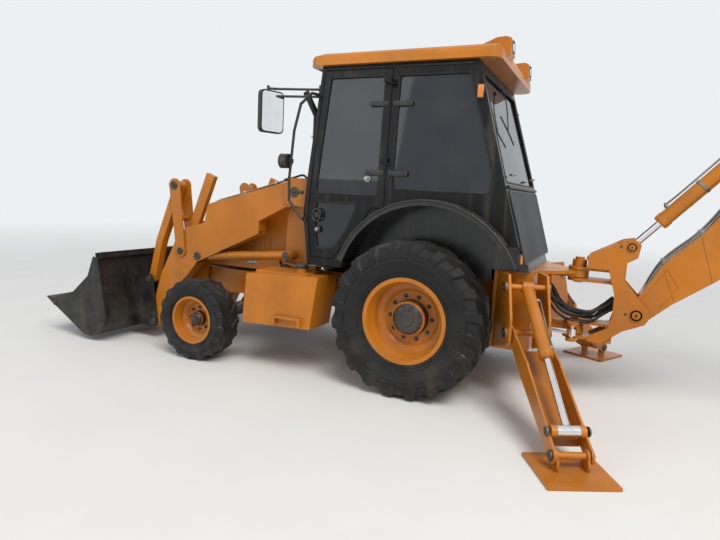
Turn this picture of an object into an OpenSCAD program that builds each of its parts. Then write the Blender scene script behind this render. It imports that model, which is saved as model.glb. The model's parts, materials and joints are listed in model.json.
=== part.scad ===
/* [Wheels] */
// Radius of a rear tyre at its lug tips, which is also the rear axle's height
rear_tyre_r = 700; // [660:5:740]
// Width of a rear tyre
rear_tyre_w = 430; // [380:5:440]
// Distance from the middle plane to the middle of a rear tyre
rear_track_half = 850; // [850:5:900]
// Radius of the flange of a rear rim
rear_rim_r = 381; // [350:1:400]
// Radius of a front tyre, which is also the front axle's height
front_tyre_r = 415; // [400:5:430]
// Width of a front tyre
front_tyre_w = 300; // [260:5:310]
// Distance from the middle plane to the middle of a front tyre
front_track_half = 990; // [985:5:1010]
// Radius of the flange of a front rim
front_rim_r = 243; // [230:1:255]
// Distance from the rear axle to the front axle
wheelbase = 2240; // [2200:5:2280]
// Lugs on each side of a rear tyre
rear_lugs = 20; // [16:1:24]
// Height of a rear tyre's lugs
rear_lug_h = 32; // [20:1:40]
// Lugs on each side of a front tyre
front_lugs = 17; // [14:1:20]
// Height of a front tyre's lugs
front_lug_h = 14; // [8:1:18]

/* [Chassis] */
// Distance from the middle plane to the outer face of a chassis rail
rail_y = 380; // [370:5:385]
// Width of a chassis rail
rail_w = 100; // [80:5:110]
// Front end of the chassis rails, ahead of the rear axle
rail_front_x = 2790; // [2760:5:2795]
// Height of the underside of the rails between the axles
rail_z = 600; // [590:5:620]
// Half width of the bonnet
bonnet_half_w = 415; // [400:5:418]
// Height of the bonnet at the cab
bonnet_rear_z = 1655; // [1600:5:1680]
// Height of the bonnet at its nose
bonnet_front_z = 1340; // [1320:10:1380]

/* [Cab] */
// Half width of the cab up to its waist
cab_half_w = 860; // [850:5:865]
// Half width of the cab under the roof
cab_top_half_w = 800; // [780:5:820]
// Thickness of the cab's walls and doors
cab_wall = 45; // [38:1:50]
// Height of the underside of the cab's floor
cab_floor_z = 1080; // [1075:5:1090]
// Height of the cab's waist, where its sides start to lean in
cab_waist_z = 1890; // [1850:10:1920]
// Height of the underside of the roof
roof_z = 2905; // [2880:5:2950]
// Height of the roof panel
roof_h = 130; // [100:5:150]
// Outer edge of a rear fender
fender_y = 1000; // [980:5:1020]
// Outer radius of a rear fender's arch
fender_r = 850; // [840:5:860]

/* [Loader] */
// Inner face of a loader arm
arm_in_y = 560; // [558:1:565]
// Width of a loader arm
arm_w = 140; // [130:1:142]
// Diameter of the lift rams' barrels
lift_barrel_d = 92; // [80:2:96]
// Diameter of the tilt rams' barrels
tilt_barrel_d = 80; // [70:2:84]
// Half width of the loader bucket
bucket_half_w = 1175; // [1140:5:1200]
// Thickness of the loader bucket's shell
bucket_t = 20; // [12:1:25]

/* [Backhoe] */
// Swing axis of the kingpost, behind the rear axle
swing_s = 1310; // [1305:1:1320]
// Length of the boom, pivot to pivot
boom_len = 2610; // [2590:5:2650]
// Angle of the boom's chord above level
boom_angle = 46; // [42:1:48]
// Width of the boom
boom_w = 230; // [220:2:232]
// Length of the dipper, pivot to pivot
dipper_len = 1600; // [1550:5:1650]
// Direction of the dipper: down and a little rearward
dipper_angle = -84; // [-90:1:-80]
// Width of the dipper
dipper_w = 170; // [160:2:176]
// Width of the backhoe bucket
hoe_bucket_w = 600; // [450:10:800]
// Angle from the dipper's line to the backhoe bucket's ear
hoe_ear_angle = 75; // [68:1:82]

/* [Stabilisers] */
// Angle by which a leg splays to the rear
leg_splay = 28; // [24:1:30]
// Reach of a leg from its pivot to its foot pin, seen from above
leg_reach = 995; // [960:5:1040]
// Height of a foot pin above the ground
foot_pin_z = 120; // [115:1:135]
// Side of a square foot pad
pad_side = 480; // [420:10:520]

/* [Hidden] */
$fn = 48;

paint = "orange";
black = [0.08, 0.08, 0.09];
rubber = [0.13, 0.13, 0.13];
bare = [0.28, 0.29, 0.31];
chrome = [0.8, 0.8, 0.82];
glass = [0.4, 0.5, 0.55, 0.4];

// Clearances: round a pin, round a sliding rod, beside a moving piece, between fixed pieces
pin_gap = 0.08;
rod_gap = 0.3;
side_gap = 5;
seat_gap = 0.3;

// Directions and points in a plane, angles from its first axis
function aim(angle) = [cos(angle), sin(angle)];
function turn(angle) = [-sin(angle), cos(angle)];
function from_line(origin, angle, p) = origin + p[0] * aim(angle) + p[1] * turn(angle);
function heading(a, b) = atan2(b[1] - a[1], b[0] - a[0]);
// Where links of lengths la and lb from a and b meet, to the left of the line from a to b
function meet(a, b, la, lb) =
    let (d = norm(b - a), x = (d * d + la * la - lb * lb) / (2 * d), h = sqrt(la * la - x * x))
    a + x * (b - a) / d + h * [-(b - a)[1], (b - a)[0]] / d;

rear_axle_z = rear_tyre_r;
front_axle_z = front_tyre_r;
arm_y = arm_in_y + arm_w / 2;
rail_arch_z = 835;
tow_bore_r = 19;
rail_top_z = cab_floor_z - seat_gap;
rail_front_top_z = rail_z + 260;
rail_rear_x = -655;
kingpin_y = 790;
// Rear frame: its front and rear ends behind the rear axle, its top and its bottom
rf_front = -rail_rear_x + seat_gap;
rf_rear = 990;
rf_top = 1180;
rf_bottom = 480;
swing_ram_y = 210;
swing_ram_z = 642;

// Loader points, ahead of the rear axle and above the ground
arm_pivot = [1310, 1755];
tip_pin = [3140, 200];
lever_pin = [2742, 1051];
lever_top = [2833, 1761];
ear_pin = [3200, 690];
lift_rod_pin = [2523, 1013];
lift_base_pin = [1400, 1115];
tilt_base_pin = [1900, 1400];
tilt_rod_pin = lever_pin + 250 * aim(heading(lever_pin, lever_top) + 2);
tilt_y = 490;

// Backhoe points, behind the rear axle and above the ground
boom_pivot = [1815, 845];
boom_ram_eye = [1725, 1430];
boom_ram_base = [2000, 540];
dipper_ram_base = [1330, 120];
knuckle_pin = from_line(boom_pivot, boom_angle, [boom_len, 0]);
nose_len = 520;
bucket_ram_base = [-330, 250];
tip_lever_at = [dipper_len - 270, 10];
hoe_pin = from_line(knuckle_pin, dipper_angle, [dipper_len, 0]);
hoe_ear_r = 280;
lever_len = 360;
hoe_link_len = 380;
lever_end_r = 45;
// Ear and lever tip in the dipper's own frame
hoe_ear_at = [dipper_len, 0] + hoe_ear_r * aim(hoe_ear_angle);
lever_tip_at = meet(tip_lever_at, hoe_ear_at, lever_len, hoe_link_len);

// Stabiliser points: pivot on the frame, then in the plane of the leg, out and up from it
leg_pivot = [-1000, 790, 700];
foot_at = [leg_reach, foot_pin_z - leg_pivot[2]];
leg_slope = heading([0, 0], foot_at);
leg_ram_top = [-80, 370];
leg_ram_foot = from_line([0, 0], leg_slope, [norm(foot_at) - 140, 70]);

front_reach = 4297;
rear_reach = from_line(knuckle_pin, dipper_angle, lever_tip_at)[0] + lever_end_r;
mid_x = (front_reach - rear_reach) / 2;

// Everything is drawn from the rear axle; the model's own origin is below its middle
module place() translate([-mid_x, 0, 0]) children();
module both() {
    children();
    mirror([0, 1, 0]) children();
}
// A profile drawn in X and Z, made t thick about the plane y
module side_plate(t, y = 0) translate([0, y, 0]) rotate([90, 0, 0])
    linear_extrude(t, center = true) children();
module cross_pin(r, l, p, y = 0) translate([p[0], y, p[1]]) rotate([90, 0, 0])
    cylinder(r = r, h = l, center = true);
// The backhoe is drawn with rearward as +X and turned round
module aft() place() mirror([1, 0, 0]) children();
// A plane frame at a point, turned by an angle in X and Z
module at(p, angle = 0) translate([p[0], 0, p[1]]) rotate([0, -angle, 0]) children();
module boom_frame() at(boom_pivot, boom_angle) children();
module dipper_frame() at(knuckle_pin, dipper_angle) children();
module leg_frame() translate(leg_pivot) rotate([0, 0, 90 + leg_splay]) children();

// A flat link between two round ends, its edges just inside their tangents
module strap(a, b, ra, rb) {
    n = [-(b - a)[1], (b - a)[0]] / norm(b - a) * 0.96;
    translate(a) circle(r = ra);
    translate(b) circle(r = rb);
    polygon([a + n * ra, b + n * rb, b - n * rb, a - n * ra]);
}

// A quarter turn of points r from c, starting at angle a
function corner(c, r, a) = [for (i = [0 : 5]) c + r * aim(a + 18 * i)];
// A rectangle with rounded corners
module rounded(lo, hi, r) polygon([
    each corner(hi - [r, r], r, 0), each corner([lo[0] + r, hi[1] - r], r, 90),
    each corner(lo + [r, r], r, 180), each corner([hi[0] - r, lo[1] + r], r, 270)]);
// A round bar through points, with a ball at each bend
module bar(points, r) for (i = [0 : len(points) - 2]) let (a = points[i], v = points[i + 1] - a) {
    translate(a) rotate([0, acos(v[2] / norm(v)), atan2(v[1], v[0])])
        cylinder(r = r, h = norm(v), $fn = 16);
    if (i > 0) translate(a) sphere(r = r + 1, $fn = 16);
}

// A ram's barrel along +X from its base pin, bored for the pin and for the rod
module barrel(len, r, rod_r, eye_w, pin_r, deep) difference() {
    union() {
        cross_pin(pin_r * 1.8, eye_w, [0, 0]);
        translate([pin_r, 0, 0]) rotate([0, 90, 0]) cylinder(r = r, h = len - pin_r);
        translate([len - 70, 0, 0]) rotate([0, 90, 0]) cylinder(r = r + 5, h = 56);
    }
    translate([len - deep, 0, 0]) rotate([0, 90, 0]) cylinder(r = rod_r + rod_gap, h = deep + 1);
    cross_pin(pin_r + pin_gap, eye_w + 2, [0, 0]);
}
// A ram's rod along +X, from inside the barrel to its eye; the eye holds its own pin
module ram_rod(from_x, to_x, r, eye_w, eye_r) {
    translate([from_x, 0, 0]) rotate([0, 90, 0]) cylinder(r = r, h = to_x - from_x);
    cross_pin(eye_r, eye_w, [to_x, 0]);
}

// Wheels, each about the origin with its axis along Y and its outer side towards +Y

// Rings of a tyre. Columns: across, radius, a lug's rise across, a lug's rise out, and the
// turn of the ring in lug pitches
function tyre_rings(r, w, bead_r, h, lean) = [
    [-0.40 * w, bead_r, 0, 0, lean],
    [-0.50 * w, r - 0.55 * (r - bead_r), 0, 0, lean],
    [-0.47 * w, r - h - 0.10 * r, -0.03 * w, 0.5 * h, lean],
    [-0.41 * w, r - h - 0.012 * r, -0.01 * w, h, lean * 0.85],
    [-0.04 * w, r - h, 0, h, 0],
    [0.04 * w, r - h, 0, h, 0.5],
    [0.41 * w, r - h - 0.012 * r, 0.01 * w, h, 0.5 + lean * 0.85],
    [0.47 * w, r - h - 0.10 * r, 0.03 * w, 0.5 * h, 0.5 + lean],
    [0.50 * w, r - 0.55 * (r - bead_r), 0, 0, 0.5 + lean],
    [0.40 * w, bead_r, 0, 0, 0.5 + lean]];
// A tyre in one skin; on its tread every other pair of points stands up as a lug
module tyre(r, w, bead_r, lugs, h, lean) {
    rings = tyre_rings(r, w, bead_r, h, lean);
    steps = lugs * 4;
    // Share of a pitch at which a lug's root, top, top and root lie
    share = [0, 0.1, 0.42, 0.52];
    points = [for (g = rings) for (i = [0 : steps - 1])
        let (k = i % 4, up = (k == 1 || k == 2) ? 1 : 0,
             a = 360 / lugs * (floor(i / 4) + share[k] + g[4]), q = g[1] + up * g[3])
        [q * sin(a), g[0] + up * g[2], q * cos(a)]];
    n = len(rings);
    quads = [for (j = [0 : n - 1]) for (i = [0 : steps - 1])
        let (j2 = (j + 1) % n, i2 = (i + 1) % steps)
        [j * steps + i, j2 * steps + i, j2 * steps + i2, j * steps + i2]];
    polyhedron(points, [for (f = quads) each [[f[0], f[1], f[2]], [f[0], f[2], f[3]]]]);
}
// A tyre's bead stands clear of its rim at the middles of its widest flats
function bead(rim_r, lugs) = rim_r / cos(0.24 * 360 / lugs) + seat_gap;
module rear_tyre() tyre(rear_tyre_r, rear_tyre_w, bead(rear_rim_r, rear_lugs), rear_lugs,
    rear_lug_h, 0.9);
module front_tyre() tyre(front_tyre_r, front_tyre_w, bead(front_rim_r, front_lugs), front_lugs,
    front_lug_h, 0.7);

// A rim with its disc, hub and cap, the hub bored for the spindle that carries it
module rim(r, half_w, disc_y, hub_r, hub_in, hub_out, bore_r, bore_deep) {
    wall = r * 0.035;
    rotate([-90, 0, 0]) difference() {
        rotate_extrude($fn = 64) polygon([
            [r, half_w], [r, half_w - 12], [r * 0.94, half_w - 18], [r * 0.92, half_w * 0.55],
            [r * 0.86, half_w * 0.4], [r * 0.86, -half_w * 0.4], [r * 0.92, -half_w * 0.55],
            [r * 0.94, 18 - half_w], [r, 12 - half_w], [r, -half_w], [r * 0.94 - wall, -half_w],
            [r * 0.86 - wall, -half_w * 0.45], [r * 0.86 - wall, disc_y - 14], [hub_r, disc_y - 14],
            [hub_r, hub_in], [0, hub_in], [0, hub_out], [hub_r * 0.85, hub_out],
            [hub_r, hub_out - 15], [hub_r, disc_y], [r * 0.62, disc_y], [r * 0.7, disc_y + 24],
            [r * 0.86 - wall, disc_y + 34], [r * 0.86 - wall, half_w * 0.45],
            [r * 0.94 - wall, half_w]]);
        translate([0, 0, hub_in - 1]) cylinder(r = bore_r + pin_gap, h = bore_deep + 1);
    }
}
// Hub radius, inner and outer end of the hub, spindle radius and how deep it goes in
rear_hub = [155, -120, 60, 60, 150];
front_hub = [75, -90, 50, 32, 120];
module rear_rim() rim(rear_rim_r, rear_tyre_w * 0.41, -40, rear_hub[0], rear_hub[1],
    rear_hub[2], rear_hub[3], rear_hub[4]);
module front_rim() rim(front_rim_r, front_tyre_w * 0.42, -10, front_hub[0], front_hub[1],
    front_hub[2], front_hub[3], front_hub[4]);
module at_rear() translate([0, rear_track_half, rear_axle_z]) children();
module at_front() translate([wheelbase, front_track_half, front_axle_z]) children();

module rear_axle() color(bare) place() translate([0, 0, rear_axle_z]) {
    flange_y = rear_track_half + rear_hub[1] - side_gap;
    rotate([90, 0, 0]) cylinder(r = 95, h = 2 * (flange_y - 30), center = true);
    rotate([90, 0, 0]) cylinder(r = 190, h = 300, center = true);
    both() {
        translate([0, flange_y - 30, 0]) rotate([-90, 0, 0]) cylinder(r = 140, h = 30);
        rotate([-90, 0, 0]) cylinder(r = rear_hub[3],
            h = rear_track_half + rear_hub[1] + rear_hub[4] - side_gap);
        translate([-110, rail_y - rail_w, 40])
            cube([220, rail_w, rail_arch_z - rear_axle_z - 40 - seat_gap]);
    }
}
module front_axle() color(bare) place() translate([wheelbase, 0, front_axle_z]) {
    rotate([90, 0, 0]) cylinder(r = 75, h = 2 * (kingpin_y - 75), center = true);
    rotate([90, 0, 0]) cylinder(r = 125, h = 240, center = true);
    translate([-90, -110, 0]) cube([180, 220, rail_z - front_axle_z - seat_gap]);
    both() translate([0, kingpin_y, 0]) {
        for (z = [-115, 80]) translate([0, 0, z]) {
            cylinder(r = 55, h = 35);
            translate([-45, -120, 0]) cube([90, 120, 35]);
        }
        translate([-55, -125, -115]) cube([110, 45, 230]);
        cylinder(r = 22, h = 200, center = true);
    }
}
// Knuckle about its kingpin, with the spindle for the front hub and the steering arm behind
module knuckle() difference() {
    union() {
        cylinder(r = 55, h = 140, center = true);
        rotate([-90, 0, 0])
            cylinder(r = 62, h = front_track_half + front_hub[1] - kingpin_y - side_gap);
        rotate([-90, 0, 0]) cylinder(r = front_hub[3],
            h = front_track_half + front_hub[1] + front_hub[4] - kingpin_y - side_gap);
        translate([-200, 10, -25]) cube([180, 45, 40]);
    }
    cylinder(r = 22 + pin_gap, h = 150, center = true);
}
module at_kingpin() translate([wheelbase, kingpin_y, front_axle_z]) children();

module chassis() color(paint) place() {
    both() side_plate(rail_w, rail_y - rail_w / 2) polygon([
        [rail_rear_x, rail_arch_z], [rail_rear_x, rail_top_z], [480, rail_top_z],
        [900, rail_front_top_z], [rail_front_x, rail_front_top_z], [rail_front_x, rail_z],
        [880, rail_z], [400, rail_arch_z]]);
    inner = rail_y - rail_w;
    // Cross members: start, length, bottom, height
    for (c = [[rail_rear_x, 80, rail_arch_z, 180], [950, 120, rail_z, 180],
              [wheelbase - 120, 240, rail_z, 150], [rail_front_x - 60, 60, rail_z, 260]])
        translate([c[0], -inner, c[2]]) cube([c[1], 2 * inner, c[3]]);
    both() tower();
    // Tow plate under the nose with the bore for a pin
    difference() {
        translate([rail_front_x - 60, -85, rail_z - 56]) {
            cube([135, 170, 40]);
            cube([60, 170, 56 - seat_gap]);
        }
        translate([rail_front_x + 42, 0, rail_z - 80]) cylinder(r = tow_bore_r, h = 80);
    }
}
// A tower that carries a loader arm in a fork and the lift ram on a pin below
module tower() {
    in_y = bonnet_half_w + 10;
    out_y = arm_in_y - side_gap;
    ear_y = arm_in_y + arm_w + side_gap;
    ear_t = 18;
    foot_y = rail_y + seat_gap;
    side_plate(out_y - foot_y, (foot_y + out_y) / 2) polygon([
        [1135, rail_z + 10], [1135, 880], [1510, 880], [1510, rail_z + 10]]);
    side_plate(out_y - in_y, (in_y + out_y) / 2) polygon([
        [1135, 700], [1135, 1885], [1360, 1885], [1450, 1720], [1480, 1450], [1510, 700]]);
    side_plate(ear_t, ear_y + ear_t / 2) polygon([
        [1135, 1600], [1135, 1890], [1360, 1890], [1440, 1760], [1420, 1640]]);
    translate([1135, in_y, 1600]) cube([24, ear_y + ear_t - in_y, 285]);
    cross_pin(15, 34, bonnet_hinge, bonnet_half_w - 3);
    cross_pin(35, ear_y + ear_t - in_y, arm_pivot, (ear_y + ear_t + in_y) / 2);
    cross_pin(28, 146, lift_base_pin, out_y + 70);
    cross_pin(45, 20, lift_base_pin, out_y + 10);
    cross_pin(45, 14, lift_base_pin, out_y + 137);
}

// Rear frame: a box across the rails, carriage lugs for the kingpost, brackets for the legs
module rear_frame() color(paint) place() {
    difference() {
        union() {
            translate([-rf_rear, -560, rf_bottom])
                cube([rf_rear - rf_front, 1120, rf_top - rf_bottom]);
            translate([0, 0, rf_top - 32]) linear_extrude(32) polygon([
                [-rf_rear + 5, -430], [-rf_rear + 5, 430], [-swing_s + 30, 84], [-swing_s + 30, -84]]);
            // Carriage lugs: bottom and height, round the swing axis
            for (c = [[1120, 62], [598, 88]]) translate([-swing_s, 0, c[0]]) {
                cylinder(r = 88, h = c[1]);
                translate([0, -80, 0]) cube([swing_s - rf_rear + 20, 160, c[1]]);
            }
        }
        translate([-rf_rear + 25, -535, rf_bottom + 20])
            cube([rf_rear - rf_front - 45, 1070, rf_top - rf_bottom - 50]);
        translate([-swing_s, 0, 400]) cylinder(r = 40 + pin_gap, h = 900);
        for (s = [-1, 1]) translate([-1100, s * swing_ram_y, swing_ram_z])
            rotate([0, 90, 0]) cylinder(r = 45 + seat_gap, h = 600);
    }
    both() leg_frame() {
        for (s = [-1, 1]) translate([0, s * 161, 0]) side_plate(22)
            polygon([[s < 0 ? -345 : -255, -200], [s < 0 ? -345 : -255, 475], [-60, 475],
                [70, 120], [75, -60], [0, -110]]);
        cross_pin(30, 344, [0, 0]);
        cross_pin(25, 344, leg_ram_top);
        // Caps on the pins' ends
        for (s = [-1, 1]) {
            cross_pin(48, 14, [0, 0], s * 178);
            cross_pin(40, 14, leg_ram_top, s * 178);
        }
    }
}
module swing_barrels() color(bare) place() both()
    translate([-560, swing_ram_y, swing_ram_z]) rotate([0, -90, 0]) difference() {
        union() {
            cylinder(r = 45, h = 485);
            translate([0, 0, 435]) cylinder(r = 52, h = 50);
        }
        translate([0, 0, 15]) cylinder(r = 25 + rod_gap, h = 480);
    }
module swing_rod() color(chrome) place() {
    translate([-575 - 225, swing_ram_y, swing_ram_z]) rotate([0, -90, 0])
        cylinder(r = 25, h = swing_s - 575 - 225);
    translate([-swing_s, swing_ram_y, swing_ram_z]) cylinder(r = 45, h = 60, center = true);
    translate([-swing_s, swing_ram_y, 589]) cylinder(r = 22, h = 108);
}
module engine() color(bare) place() {
    translate([1520, -250, 775]) cube([820, 500, 420]);
    both() for (x = [1600, 2200]) translate([x, 240, 790])
        cube([60, rail_y - rail_w - 240 - seat_gap, 60]);
}

// Cab: a body with leaning sides and rear, at an inset from its outer skin
module cab_form(inset) {
    e = inset;
    intersection() {
        side_plate(2400) polygon([
                [-640 + e, cab_floor_z + e], [-640 + e, rf_top + seat_gap + e],
            [-955 + e, rf_top + seat_gap + e], [-440 + e, roof_z - seat_gap - e],
            [1000 - e, roof_z - seat_gap - e], [1120 - e, 1560], [1060 - e, cab_floor_z + e]]);
        rotate([90, 0, 90]) linear_extrude(4000, center = true) polygon([
            [-cab_half_w + e, cab_floor_z + e], [cab_half_w - e, cab_floor_z + e],
            [cab_half_w - e, cab_waist_z], [cab_top_half_w - e, roof_z],
            [-cab_top_half_w + e, roof_z], [-cab_half_w + e, cab_waist_z]]);
    }
}
// Outline of a door, grown by g
module door_outline(g) polygon([
    [306 - g, 2860 + g], [965 + g, 2860 + g], [1068 + g, 1555], [1020 + g, 1160 - g],
    [790, 1160 - g], [450 + 290 - g, 1235 - g], [600 - g, 1397 - g], [500 - g, 1532 - g],
    [428 - g, 1652 - g], [306 - g, 1652 - g]]);
module door_windows() {
    polygon([[370, 2800], [915, 2800], [1000, 1760], [370, 1760]]);
    polygon([[560, 1680], [990, 1680], [1000, 1560], [970, 1240], [800, 1240], [660, 1430]]);
}
module quarter_window() polygon([[-380, 2800], [240, 2800], [240, 1820], [-620, 1820], [-640, 1980]]);
module wheel_arches() both() translate([0, 600 - seat_gap + 300, 0]) side_plate(600) {
    translate([-130, 900]) circle(r = fender_r + seat_gap, $fn = 144);
    polygon([[-1200, 1000], [-1200, 1400 + seat_gap], [-600, 1400 + seat_gap], [-600, 1000]]);
}
module windscreen_prism(g) translate([700, 0, 0]) rotate([90, 0, 90]) linear_extrude(500)
    polygon([[-740 + g, 1640 + g], [740 - g, 1640 + g], [700 - g, 2820 - g], [-700 + g, 2820 - g]]);
module rear_window_prism(g) translate([-1100, 0, 0]) rotate([90, 0, 90]) linear_extrude(700)
    polygon([[-770 + g, 1920 + g], [770 - g, 1920 + g], [725 - g, 2820 - g], [-725 + g, 2820 - g]]);
// Door hinges stand on a common axis beside the leaning wall: a plate and pin on the cab,
// a knuckle and strap on the door
door_hinge = [300, cab_half_w + 12];
hinge_reach = door_hinge[1] - cab_top_half_w;
hinge_zs = [2030, 2715];
module door_hinges() for (z = hinge_zs) translate([door_hinge[0], door_hinge[1], z]) children();
module cab_shell() color(black) place() {
    difference() {
        cab_form(0);
        cab_form(cab_wall);
        side_plate(3000) door_outline(6);
        side_plate(3000) quarter_window();
        windscreen_prism(0);
        rear_window_prism(0);
        wheel_arches();
    }
    both() door_hinges() {
        cylinder(r = 16, h = 14);
        translate([-38, -hinge_reach, 0]) cube([38, hinge_reach, 14]);
        cylinder(r = 9, h = 64);
    }
}
module cab_glass() color(glass) place() intersection() {
    difference() {
        cab_form(18);
        cab_form(24);
    }
    union() {
        both() translate([0, 850, 0]) side_plate(300) intersection() {
            quarter_window();
            translate([seat_gap, -seat_gap]) quarter_window();
            translate([-seat_gap, seat_gap]) quarter_window();
        }
        windscreen_prism(seat_gap);
        rear_window_prism(seat_gap);
    }
}
module door() {
    intersection() {
        difference() {
            cab_form(0);
            cab_form(cab_wall);
        }
        translate([0, cab_half_w, 0]) side_plate(400) difference() {
            door_outline(0);
            door_windows();
        }
    }
    door_hinges() difference() {
        union() {
            translate([0, 0, 15]) cylinder(r = 16, h = 46);
            translate([8, 2 - hinge_reach, 20]) cube([54, hinge_reach - 8, 36]);
        }
        cylinder(r = 9 + pin_gap, h = 70);
    }
}
module door_glass() intersection() {
    difference() {
        cab_form(18);
        cab_form(24);
    }
    translate([0, cab_half_w, 0]) side_plate(400) intersection() {
        translate([seat_gap, -seat_gap]) door_windows();
        translate([-seat_gap, seat_gap]) door_windows();
    }
}
// Roof: rounded in plan and along its edges, with hoods for the rear working lamps
hood_y = 482;
hood_z = roof_z + 147;
hood_lamp_r = 57;
module cab_roof() color(paint) place() difference() {
    top = roof_z + roof_h;
    union() {
        intersection() {
            translate([0, 0, roof_z]) linear_extrude(2 * roof_h) rounded([-618, -852], [1128, 852], 110);
            side_plate(1800) polygon([
                [-618, roof_z], [-618, roof_z + 70], [-595, top - 18], [-560, top], [820, top],
                [960, top - 14], [1062, top - 48], [1128, roof_z + 46], [1128, roof_z]]);
            rotate([90, 0, 90]) linear_extrude(4000, center = true) polygon([
                [852, roof_z], [852, roof_z + 52], [838, roof_z + 84], [806, top - 22], [730, top - 6],
                [620, top], [-620, top], [-730, top - 6], [-806, top - 22], [-838, roof_z + 84],
                [-852, roof_z + 52], [-852, roof_z]]);
        }
        both() side_plate(190, hood_y) polygon([
            [-616, roof_z + 40], [-646, roof_z + 90], [-640, roof_z + 205], [-600, roof_z + 222],
            [-520, roof_z + 216], [-300, top - 4], [-300, roof_z + 40]]);
        // Vent on the roof
        translate([-140, 0, top - 5]) cylinder(r1 = 190, r2 = 170, h = 38);
    }
    both() translate([-680, hood_y, hood_z]) rotate([0, 90, 0]) cylinder(r = hood_lamp_r, h = 110);
    // Lip below the visor
    translate([1075, -700, roof_z - 1]) cube([32, 1400, 16]);
}
// Rear fenders: an arch over each tyre, a wall on its inner side and a shelf behind it
module rear_fenders() color(black) place() both() {
    intersection() {
        translate([-130, 800, 900]) rotate([90, 0, 0]) difference() {
            cylinder(r = fender_r, h = 2 * fender_y - 1600, center = true, $fn = 144);
            translate([0, 0, 814 - fender_y]) cylinder(r = fender_r - 14, h = 600, $fn = 144);
            cylinder(r = fender_r - 52, h = 600, center = true, $fn = 144);
        }
        side_plate(3000) polygon([[-130, 900], [1400, 1427], [1400, 2600], [-2400, 2600]]);
    }
    translate([0, 608, 0]) side_plate(16) {
        intersection() {
            translate([-130, 900]) circle(r = fender_r - 1, $fn = 144);
            translate([-640 + seat_gap, cab_floor_z]) square([1400, 1000]);
        }
        polygon([[-955, rf_top + seat_gap], [-870, 1400], [-640, 1400], [-600, rf_top + seat_gap]]);
    }
    translate([-880, 600, 1388]) cube([120, cab_half_w - 600, 12]);
}
module seat_and_controls() color(black) place() {
    // Seat: pedestal, cushion and back
    translate([-100, -180, cab_floor_z + cab_wall + seat_gap]) cube([360, 360, 330]);
    translate([-150, -240, 1455]) cube([480, 480, 110]);
    translate([-200, -230, 1540]) rotate([0, -8, 0]) cube([110, 460, 540]);
    // Steering column and wheel
    translate([760, -60, cab_floor_z + cab_wall + seat_gap]) cube([160, 120, 500]);
    translate([800, 0, 1600]) rotate([0, -25, 0]) {
        cylinder(r = 22, h = 186);
        translate([0, 0, 176]) rotate_extrude() translate([190, 0]) circle(r = 15, $fn = 16);
        for (a = [90, 210, 330]) rotate([0, 0, a]) translate([6, -13, 168]) cube([180, 26, 11]);
    }
    both() {
        // Arm rests, and the levers for the digging arm behind the seat
        translate([-120, 236, 1640]) cube([330, 60, 50]);
        translate([-150, 220, 1560]) cube([60, 40, 130]);
        translate([-520, 230, cab_floor_z + cab_wall + seat_gap]) cube([110, 120, 480]);
        translate([-465, 290, 1590]) rotate([0, -6, 0]) cylinder(r = 9, h = 230);
        translate([-489, 290, 1815]) sphere(r = 26, $fn = 16);
    }
}
module side_tanks() color(paint) place() both() {
    translate([0, 800, 0]) side_plate(400) polygon([
        [860, 985], [930, 480], [1685, 455], [1688, 530], [1655, 950]]);
    for (x = [960, 1560]) translate([x, rail_y + seat_gap, 690]) cube([60, 600 - rail_y, 80]);
    // Raised top, filler neck, and a step on the outer face
    translate([1010, 640, 930]) cube([560, 320, 60]);
    translate([1150, 800, 985]) cylinder(r = 55, h = 45);
    translate([1010, 995, 560]) cube([300, 60, 24]);
    for (x = [1010, 1286]) translate([x, 995, 500]) cube([24, 60, 84]);
}
// Mirrors on their arms, and a hand hoop ahead of each door
module mirrors() color(black) place() both() difference() {
    union() {
        for (z = [2640, 2705])
            bar([[1000, 750, z], [1060, 785, z], [1390, 985, z - 20], [1440, 1026, z - 20]], 11);
        translate([1000, 712, 2600]) cube([38, 84, 140]);
        translate([1420, 1010, 2475]) rotate([0, 0, -17]) {
            translate([-30, 0, 0]) rotate([90, 0, 90]) linear_extrude(44) rounded([-135, -190], [135, 190], 45);
            translate([8, 0, 0]) rotate([90, 0, 90]) linear_extrude(30) rounded([-105, -160], [105, 160], 30);
        }
        translate([1440, 1026, 2470]) cylinder(r = 13, h = 240);
        bar([[1022, 770, 2655], [1046, 905, 2652], [1160, 905, 2560], [1222, 905, 2320],
            [1262, 905, 1865], [1256, 905, 1677], [1112, 905, 1512], [1098, 840, 1505]], 13);
        translate([1084, 820, 1480]) cube([28, 60, 50]);
        translate([1226, 893, 2020]) cube([42 - seat_gap, 24, 40]);
    }
    cab_form(-seat_gap);
}
module exhaust() color(black) place() {
    translate([1225, 487, 1885 + seat_gap]) cylinder(r = 32, h = 640);
    translate([1225, 487, 2515]) rotate([0, 30, 0]) cylinder(r = 32, h = 260);
}
// Working lamps in the roof's hoods and below its visor, head lamps on the hand hoops
module lamps() color(bare) place() both() {
    translate([-634, hood_y, hood_z]) rotate([0, 90, 0]) cylinder(r = hood_lamp_r - seat_gap, h = 64 - seat_gap);
    translate([1091 - 20, 470, roof_z - 62]) {
        rotate([0, 90, 0]) cylinder(r = 56, h = 54);
        translate([6, -12, 40]) cube([26, 24, 22 + 15 - seat_gap]);
    }
    translate([1268, 905, 2040]) rotate([0, 90, 0]) cylinder(r = 68, h = 70);
}

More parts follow.
